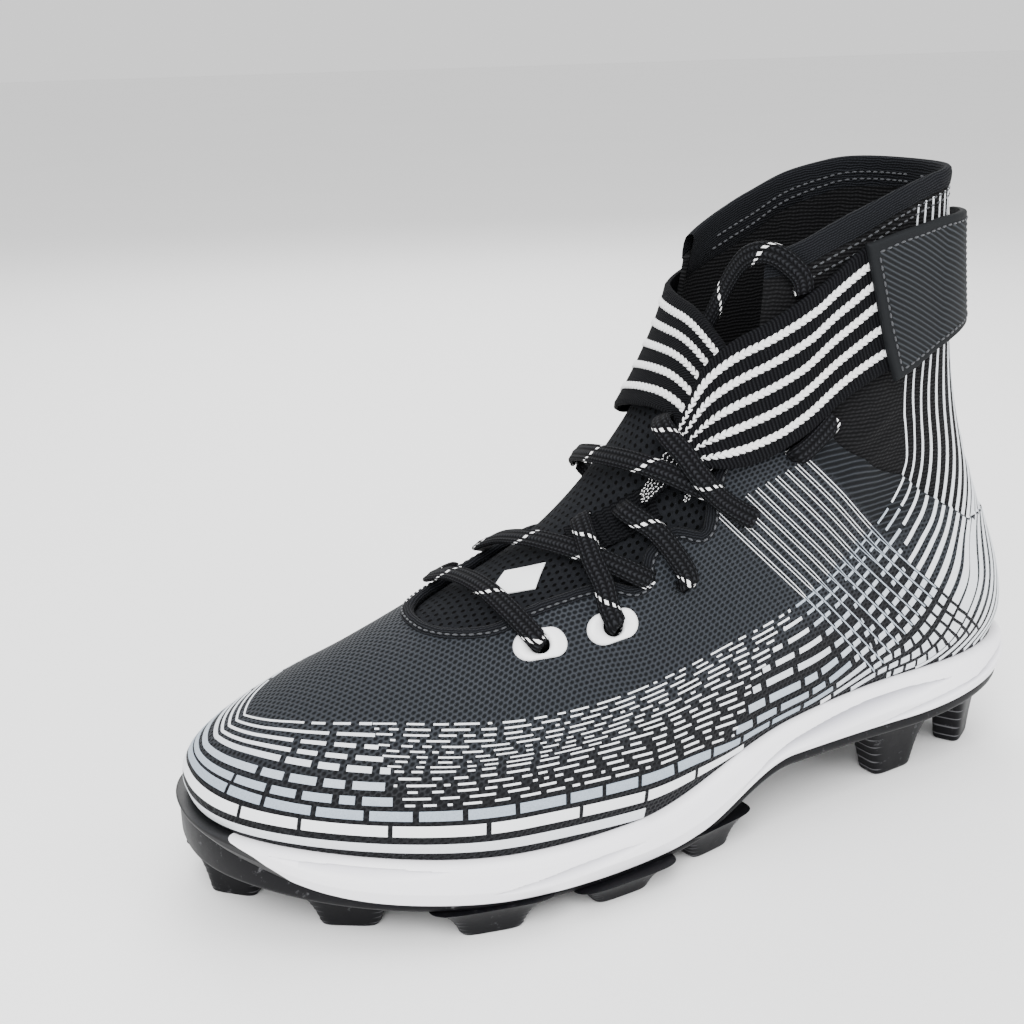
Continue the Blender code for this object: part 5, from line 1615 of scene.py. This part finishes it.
# Twin lines crossing the heel quarter: (u, level) at the top, middle and end of the first and the last,
# and the way out from the quarter along which they look straight
CROSSING_FIRST = ((0.320, 6.445), (0.600, 3.852), (0.705, 0.268))
CROSSING_LAST = ((0.464, 6.740), (0.713, 3.777), (0.825, 0.969))
CROSSING_SIGHT = (-0.36, -0.87, 0.33)
CROSSING_LINES = 10
CROSSING_END = 0.97             # share of the first line that shows, and how much less each next one shows
CROSSING_SHORTER = 0.023
CROSSING_DARK = 0.52            # share past which a line is blue grey
TWINS_CLOSE = 0.42              # share where the twins start to close up, over which share they do so
TWINS_CLOSE_OVER = 0.16
TWINS_LEFT = 0.00018            # and their spacing from there on


@cache
def crossing_lines():
    """(u, v) along every crossing line: straight chords laid on to the skin along the sight."""
    shares = np.linspace(0, 1, CROSSING_LINES)[:, None, None]
    first, final = np.array(CROSSING_FIRST), np.array(CROSSING_LAST)
    knots = first + (final - first) * shares
    start, end = last(*first.T), last(*final.T)
    chords = np.array([smooth_route(points, 40) for points in start + (end - start) * shares])
    u, v = np.moveaxis(np.array([smooth_route(points, 40) for points in knots]), -1, 0)
    sight = np.broadcast_to(unit(np.array(CROSSING_SIGHT)), chords.shape)
    for _ in range(16):
        ways = np.stack([*slopes(u, v), -sight], axis=-1)
        step = np.linalg.solve(ways, (chords - last(u, v))[..., None])[..., 0]
        u = u + np.clip(step[..., 0], -0.03, 0.03)
        v = v + np.clip(step[..., 1], -0.4, 0.4)
    return u, v


def crossing_place(t, line):
    """(u, v) of a crossing line at shares t of its length."""
    u, v = crossing_lines()
    at = np.linspace(0, 1, u.shape[1])
    return np.interp(t, at, u[line]), np.interp(t, at, v[line])


def runs(mask):
    """First and last index of each stretch of true values."""
    edges = np.flatnonzero(np.diff(np.concatenate([[0], mask.astype(int), [0]])))
    return list(zip(edges[::2], edges[1::2] - 1))


class Strips:
    """Raised strips of one piece being gathered on one side of the skin."""

    def __init__(self, side, thick):
        self.side, self.thick = side, thick
        self.u, self.v, self.lift, self.tone, self.faces = [], [], [], [], []
        self.count = 0

    def add(self, low, high, tone):
        """Strip between two lines of (u, v), with rounded edges."""
        t = np.array([0.0, 0.0, 0.12, 0.88, 1.0, 1.0])
        shares = np.array([0.0, 0.7, 1.0, 1.0, 0.7, 0.0])
        steps, around = len(low[0]), len(t)
        for store, a, b in ((self.u, low[0], high[0]), (self.v, low[1], high[1])):
            store.append((a[:, None] + (b - a)[:, None] * t).ravel())
        self.lift.append(np.tile(np.where(shares > 0, shares * self.thick, -0.00015), steps))
        self.tone.append(np.full(steps * around, float(tone)))
        ends = [tuple(range(around - 1, -1, -1)), tuple(range((steps - 1) * around, steps * around))]
        faces = [*quads(steps, around).tolist(), *ends]
        self.faces += [tuple(i + self.count for i in face) for face in faces]
        self.count += steps * around

    def piece(self, name, finish):
        """Makes the gathered strips one piece, a step lower on the knit."""
        u, v, lift = (np.concatenate(values) for values in (self.u, self.v, self.lift))
        below = v > edge_level(u)
        points = skin(u * self.side, v, np.where(below, lift - KNIT_STEP, lift))
        faces = self.faces if self.side > 0 else [face[::-1] for face in self.faces]
        strips = new_piece(name, points, faces, finish, tone=np.concatenate(self.tone), sharp=35)
        settled(strips)


def brick_mask(run, rng, shortest, longest, gap, widest=None):
    """True along the bricks of a row, false in the joints."""
    mask = np.ones(len(run), bool)
    at = run[0] + rng.uniform(0, longest)
    while at < run[-1]:
        joint = rng.uniform(gap, widest) if widest else gap
        mask &= ~((run > at) & (run < at + joint))
        at += joint + rng.uniform(shortest, longest)
    return mask


def crossing_gap(points):
    """Distance in metres from points to the nearest crossing line."""
    away = np.full(len(points), 1.0)
    for line in range(CROSSING_LINES):
        u, v = crossing_place(np.linspace(0, 1, 70), line)
        path = last(u, v)
        near = np.linalg.norm(points[:, None, :] - path[None, :, :], axis=-1)
        k = np.clip(near.argmin(axis=1), 1, len(path) - 2)
        along = unit(path[k + 1] - path[k - 1])
        gap = points - path[k]
        beside = np.linalg.norm(gap - (gap * along).sum(-1, keepdims=True) * along, axis=-1)
        away = np.minimum(away, np.where(near.min(axis=1) < 0.004, beside, 1.0))
    return away


# Rows of the print: shortest and longest brick, joint, tone from white 0 to blue grey 1
Row = namedtuple("Row", "shortest longest joint tone")
ROWS = (
    Row(0.004, 0.012, 0.0022, 0.25), Row(0.006, 0.018, 0.0022, 0.25), Row(0.006, 0.016, 0.0022, 0.20),
    Row(0.006, 0.012, 0.0020, 0.30), Row(0.006, 0.013, 0.0019, 0.45), Row(0.004, 0.012, 0.0017, 0.85),
    Row(0.004, 0.012, 0.0016, 0.95), Row(0.010, 0.014, 0.0012, 1.00), Row(0.016, 0.027, 0.0010, 0.00),
    *(Row(9.000, 9.900, 0.0010, tone) for tone in (0.30, 0.60, 0.00, 0.00, 0.00)),
)
ROW_PLACES = (*range(11), 10.6, 11.2, 11.8, 12.4, 13.0, 13.6)
DASHES_FROM = (0.165, 0.255)    # u where short dashes take over, at rows 0 and 6
DASHES_TO = (0.590, 0.545)
DASH_ROWS = 15
DASH_DEEPEST = 6.25
DASH = Row(0.0014, 0.0085, 0.0013, 0.10)
DASH_WIDEST_JOINT = 0.0034
DASH_FILL = 0.15                # share of its pitch that a row of dashes fills
DASHES_END = 8                  # station past which no dashes go
BROAD_ROWS = 10                 # row past which the rows stand closer and thinner
LOW_FILL = 0.43                 # and their fill, as a share of the others'
CORNER = 0.085                  # u up to which the rows run unbroken round the toe


def among_dashes(u, row):
    """True where the short dashes are."""
    start, end = (a + (b - a) * row / 6 for a, b in (DASHES_FROM, DASHES_TO))
    return (u > start) & (u < end)


def row_tone(number, row, s):
    """White to blue grey of a row at a station."""
    if s < AT_QUARTER:
        return row.tone
    if s < AT_HEEL:
        return min(max(0.95 - 0.06 * number - 0.25 * max(s - 11.5, 0), 0.3), 1)
    return 0.3


def make_print(side, name):
    """Raised printed rows of one side."""
    rng = np.random.default_rng(11 if side > 0 else 23)
    look = settings()
    strips = Strips(side, look.print_thick)
    s = np.linspace(0, len(GUIDES) - 1, 1700)
    for number, place in enumerate(ROW_PLACES):
        row = ROWS[min(number, len(ROWS) - 1)]
        u, v = print_place(s, place)
        base = last(u, v)
        mask = brick_mask(run_along(base), rng, row.shortest, row.longest, row.joint)
        mask |= (s > AT_HEEL - 0.35 * number) | ((u < CORNER) & (number < 9))
        mask &= (v > 0.02) & (v < BINDING_V - 0.02)
        if number < 7:
            mask &= ~(among_dashes(u, number) & (s < DASHES_END))
        near = (s > 7.5) & (s < 13)
        mask[near] &= crossing_gap(base[near]) > look.crossing_gap / 2
        fill = row_fill(s, place) * (LOW_FILL if place > BROAD_ROWS else 1.0)
        add_row(strips, s, place, fill, mask, lambda at: row_tone(number, row, at))
    for number in range(DASH_ROWS):
        row = DASH_DEEPEST * number / (DASH_ROWS - 1)
        u, v = print_place(s, row)
        mask = brick_mask(run_along(last(u, v)), rng, DASH.shortest, DASH.longest, DASH.joint,
                          DASH_WIDEST_JOINT)
        mask &= among_dashes(u, row) & (s < DASHES_END)
        add_row(strips, s, row, np.full_like(s, DASH_FILL), mask, lambda at: DASH.tone)
    strips.piece(name, "print")


def add_row(strips, s, row, fill, mask, tone):
    """Adds a row's bricks as raised strips, their ends square to the row."""
    u, v = print_place(s, row)
    path = last(u, v)
    across = sideways(u, v, path)
    upper, lower = (last(*print_place(s, row + step)) for step in (-0.5, 0.5))
    half = np.abs(((upper - lower) * across).sum(-1)) * fill / 2
    ends = [moved(u, v, across * (half * sign)[:, None]) for sign in (-1, 1)]
    keep = (np.minimum(ends[0][1], ends[1][1]) > 0.01) & (v < BINDING_V - 0.02)
    for first, final in runs(mask & keep):
        if final - first > 1:
            steps = np.unique(np.linspace(first, final, max(3, (final - first) // 5 + 2)).astype(int))
            low, high = ([a[steps] for a in end] for end in ends)
            strips.add(low, high, tone(s[(first + final) // 2]))


def make_crossings(side, name):
    """Thin lines that cross the heel quarter: twins that close up to one line lower down."""
    look = settings()
    strips = Strips(side, look.print_thick * 0.8)
    t = np.linspace(0, 1, 150)
    for line in range(CROSSING_LINES):
        shown = t[t < CROSSING_END - CROSSING_SHORTER * line]
        u, v = crossing_place(shown, line)
        across = sideways(u, v, last(u, v))
        apart = look.crossing_twin * (1 - soft_step((shown - TWINS_CLOSE) / TWINS_CLOSE_OVER)) + TWINS_LEFT
        for offset in (-1, 1):
            inner = offset * apart / 2 - look.crossing_line / 2
            low = moved(u, v, across * inner[:, None])
            high = moved(u, v, across * (inner + look.crossing_line)[:, None])
            middle = int(len(u) * CROSSING_DARK)
            for part, tone in ((slice(0, middle + 1), 0.0), (slice(middle, None), 0.9)):
                strips.add([a[part] for a in low], [a[part] for a in high], tone)
    strips.piece(name, "print")


def make_prints():
    for side, word in SIDES:
        make_print(side, f"print_rows_{word}")
        make_crossings(side, f"print_crossings_{word}")


def set_down(obj, right, up, back, place):
    """Puts a light or the camera at its place, looking away from its back."""
    obj.matrix_world = Matrix([(right[n], up[n], back[n], place[n]) for n in range(3)] + [(0, 0, 0, 1)])


def make_stage():
    """Pale floor, soft light and the camera at the photograph's angle."""
    half = FLOOR_HALF
    mesh = bpy.data.meshes.new("floor")
    corners = [(-half, -half, 0), (half, -half, 0), (half, half, 0), (-half, half, 0)]
    mesh.from_pydata(corners, [], [(0, 1, 2, 3)])
    floor = linked("floor", mesh)
    f = Finish("pale_floor", Roughness=0.7)
    f.color(f.mix(f.noise(f.objects_place(), 3, 2), (0.90, 0.90, 0.90), (0.93, 0.93, 0.93)))
    mesh.materials.append(f.material)
    for light in LIGHTS:
        area = bpy.data.lights.new(light.name, "AREA")
        area.size = light.size
        area.energy = light.power
        back = unit(np.array(light.place) - np.array(LIGHTS_FACE))
        right = unit(np.cross([0.0, 1.0, 0.001], back))
        set_down(linked(light.name, area), right, np.cross(back, right), back, light.place)
    world = bpy.context.scene.world or bpy.data.worlds.new("studio")
    bpy.context.scene.world = world
    world.use_nodes = True
    background = world.node_tree.nodes["Background"]
    background.inputs[0].default_value = (1.0, 1.0, 1.0, 1.0)
    background.inputs[1].default_value = SKY
    a, e, r = (math.radians(x) for x in (CAMERA_AZIMUTH, CAMERA_ELEVATION, CAMERA_ROLL))
    back = np.array([math.sin(a) * math.cos(e), -math.cos(a) * math.cos(e), math.sin(e)])
    right = unit(np.cross(-back, [0, 0, 1]))
    up = np.cross(right, -back)
    camera = bpy.data.cameras.new("camera")
    camera.lens = CAMERA_LENS
    camera.sensor_width = SENSOR
    camera.clip_start = 0.01
    eye = linked("camera", camera)
    set_down(eye, math.cos(r) * right + math.sin(r) * up, -math.sin(r) * right + math.cos(r) * up, back,
             CAMERA_AT)
    bpy.context.scene.camera = eye


class CleatSettings(bpy.types.PropertyGroup):
    """Sizes and colours of the cleat's finish."""

    cell_width: FloatProperty(name="Cell width", description="Pitch of the mesh's dimples along the shoe",
                              default=0.0017, unit="LENGTH")
    cell_height: FloatProperty(name="Cell height", description="Pitch of the mesh's dimple rows",
                               default=0.0014, unit="LENGTH")
    coated_thread: FloatVectorProperty(name="Mesh thread", description="Colour of the raised threads",
                                       default=(0.028, 0.032, 0.039), size=3, subtype="COLOR")
    coated_pit: FloatVectorProperty(name="Mesh pit", description="Colour in the dimples",
                                    default=(0.0025, 0.003, 0.004), size=3, subtype="COLOR")
    rope_count: IntProperty(name="Cords", description="White cords on each strap", default=5, min=2)
    rope_first: FloatProperty(name="First cord", description="Share of the strap's width outside the cords",
                              default=0.15)
    rope_width: FloatProperty(name="Cord width", description="Width of a white cord", default=0.0021,
                              unit="LENGTH")
    rope_pitch: FloatProperty(name="Cord pitch", description="Length of one link of a cord", default=0.0019,
                              unit="LENGTH")
    patch_rib: FloatProperty(name="Patch rib", description="Pitch of the patch's ribs", default=0.0016,
                             unit="LENGTH")
    print_thick: FloatProperty(name="Print height", description="Height of the printed rows", default=0.00018,
                               unit="LENGTH")
    stitch_pitch: FloatProperty(name="Stitch pitch", description="Distance between stitches", default=0.0023,
                                unit="LENGTH")
    crossing_gap: FloatProperty(name="Crossing gap", description="Gap that a crossing line cuts in a row",
                                default=0.0009, unit="LENGTH")
    crossing_twin: FloatProperty(name="Twin spacing", description="Spacing of a crossing line's twins",
                                 default=0.0008, unit="LENGTH")
    crossing_line: FloatProperty(name="Twin width", description="Width of each twin", default=0.00023,
                                 unit="LENGTH")
    fleck_pitch: FloatProperty(name="Fleck pitch", description="Distance between fleck bands on the lace",
                               default=0.021, unit="LENGTH")
    fleck_width: FloatProperty(name="Fleck width", description="Length of a white fleck", default=0.0013,
                               unit="LENGTH")
    fleck_slant: FloatProperty(name="Fleck slant", description="Slant of a fleck band", default=0.016,
                               unit="LENGTH")


class CLEAT_OT_upper(bpy.types.Operator):
    """Builds the coated upper, the knit ankle and the collar binding"""

    bl_idname = "cleat.upper"
    bl_label = "Upper"

    def execute(self, context):
        make_upper()
        return {"FINISHED"}


class CLEAT_OT_print(bpy.types.Operator):
    """Builds the raised print"""

    bl_idname = "cleat.print_rows"
    bl_label = "Print"

    def execute(self, context):
        make_prints()
        return {"FINISHED"}


class CLEAT_OT_sole(bpy.types.Operator):
    """Builds the midsole, the insole and the outsole's finish"""

    bl_idname = "cleat.sole"
    bl_label = "Sole"

    def execute(self, context):
        make_midsole()
        make_insole()
        make_outsole()
        return {"FINISHED"}


class CLEAT_OT_tongue(bpy.types.Operator):
    """Builds the tongue, its label and the lace keeper"""

    bl_idname = "cleat.tongue"
    bl_label = "Tongue"

    def execute(self, context):
        make_tongue()
        return {"FINISHED"}


class CLEAT_OT_straps(bpy.types.Operator):
    """Builds the crossed straps and their patches"""

    bl_idname = "cleat.straps"
    bl_label = "Straps"

    def execute(self, context):
        make_straps()
        make_patches()
        return {"FINISHED"}


class CLEAT_OT_laces(bpy.types.Operator):
    """Builds the laces and the eyelets"""

    bl_idname = "cleat.laces"
    bl_label = "Laces"

    def execute(self, context):
        make_eyelets()
        make_laces()
        return {"FINISHED"}


class CLEAT_OT_stage(bpy.types.Operator):
    """Builds the floor, the lights and the camera"""

    bl_idname = "cleat.stage"
    bl_label = "Stage"

    def execute(self, context):
        make_stage()
        return {"FINISHED"}


class CLEAT_PT_panel(bpy.types.Panel):
    """Lists the cleat's builders and sizes"""

    bl_idname = "CLEAT_PT_panel"
    bl_label = "Football cleat"
    bl_space_type = "VIEW_3D"
    bl_region_type = "UI"
    bl_category = "Cleat"

    def draw(self, context):
        for name in CleatSettings.__annotations__:
            self.layout.prop(context.scene.cleat, name)
        for operator in OPERATORS:
            self.layout.operator(operator.bl_idname)


OPERATORS = (CLEAT_OT_stage, CLEAT_OT_upper, CLEAT_OT_print, CLEAT_OT_sole, CLEAT_OT_tongue, CLEAT_OT_straps,
             CLEAT_OT_laces)


def register():
    for cls in (CleatSettings, *OPERATORS, CLEAT_PT_panel):
        bpy.utils.register_class(cls)
    bpy.types.Scene.cleat = PointerProperty(type=CleatSettings)


def unregister():
    del bpy.types.Scene.cleat
    for cls in reversed((CleatSettings, *OPERATORS, CLEAT_PT_panel)):
        bpy.utils.unregister_class(cls)


def main():
    register()
    bpy.ops.cleat.stage()
    bpy.ops.cleat.upper()
    bpy.ops.cleat.print_rows()
    bpy.ops.cleat.sole()
    bpy.ops.cleat.tongue()
    bpy.ops.cleat.straps()
    bpy.ops.cleat.laces()


if __name__ == "__main__":
    main()
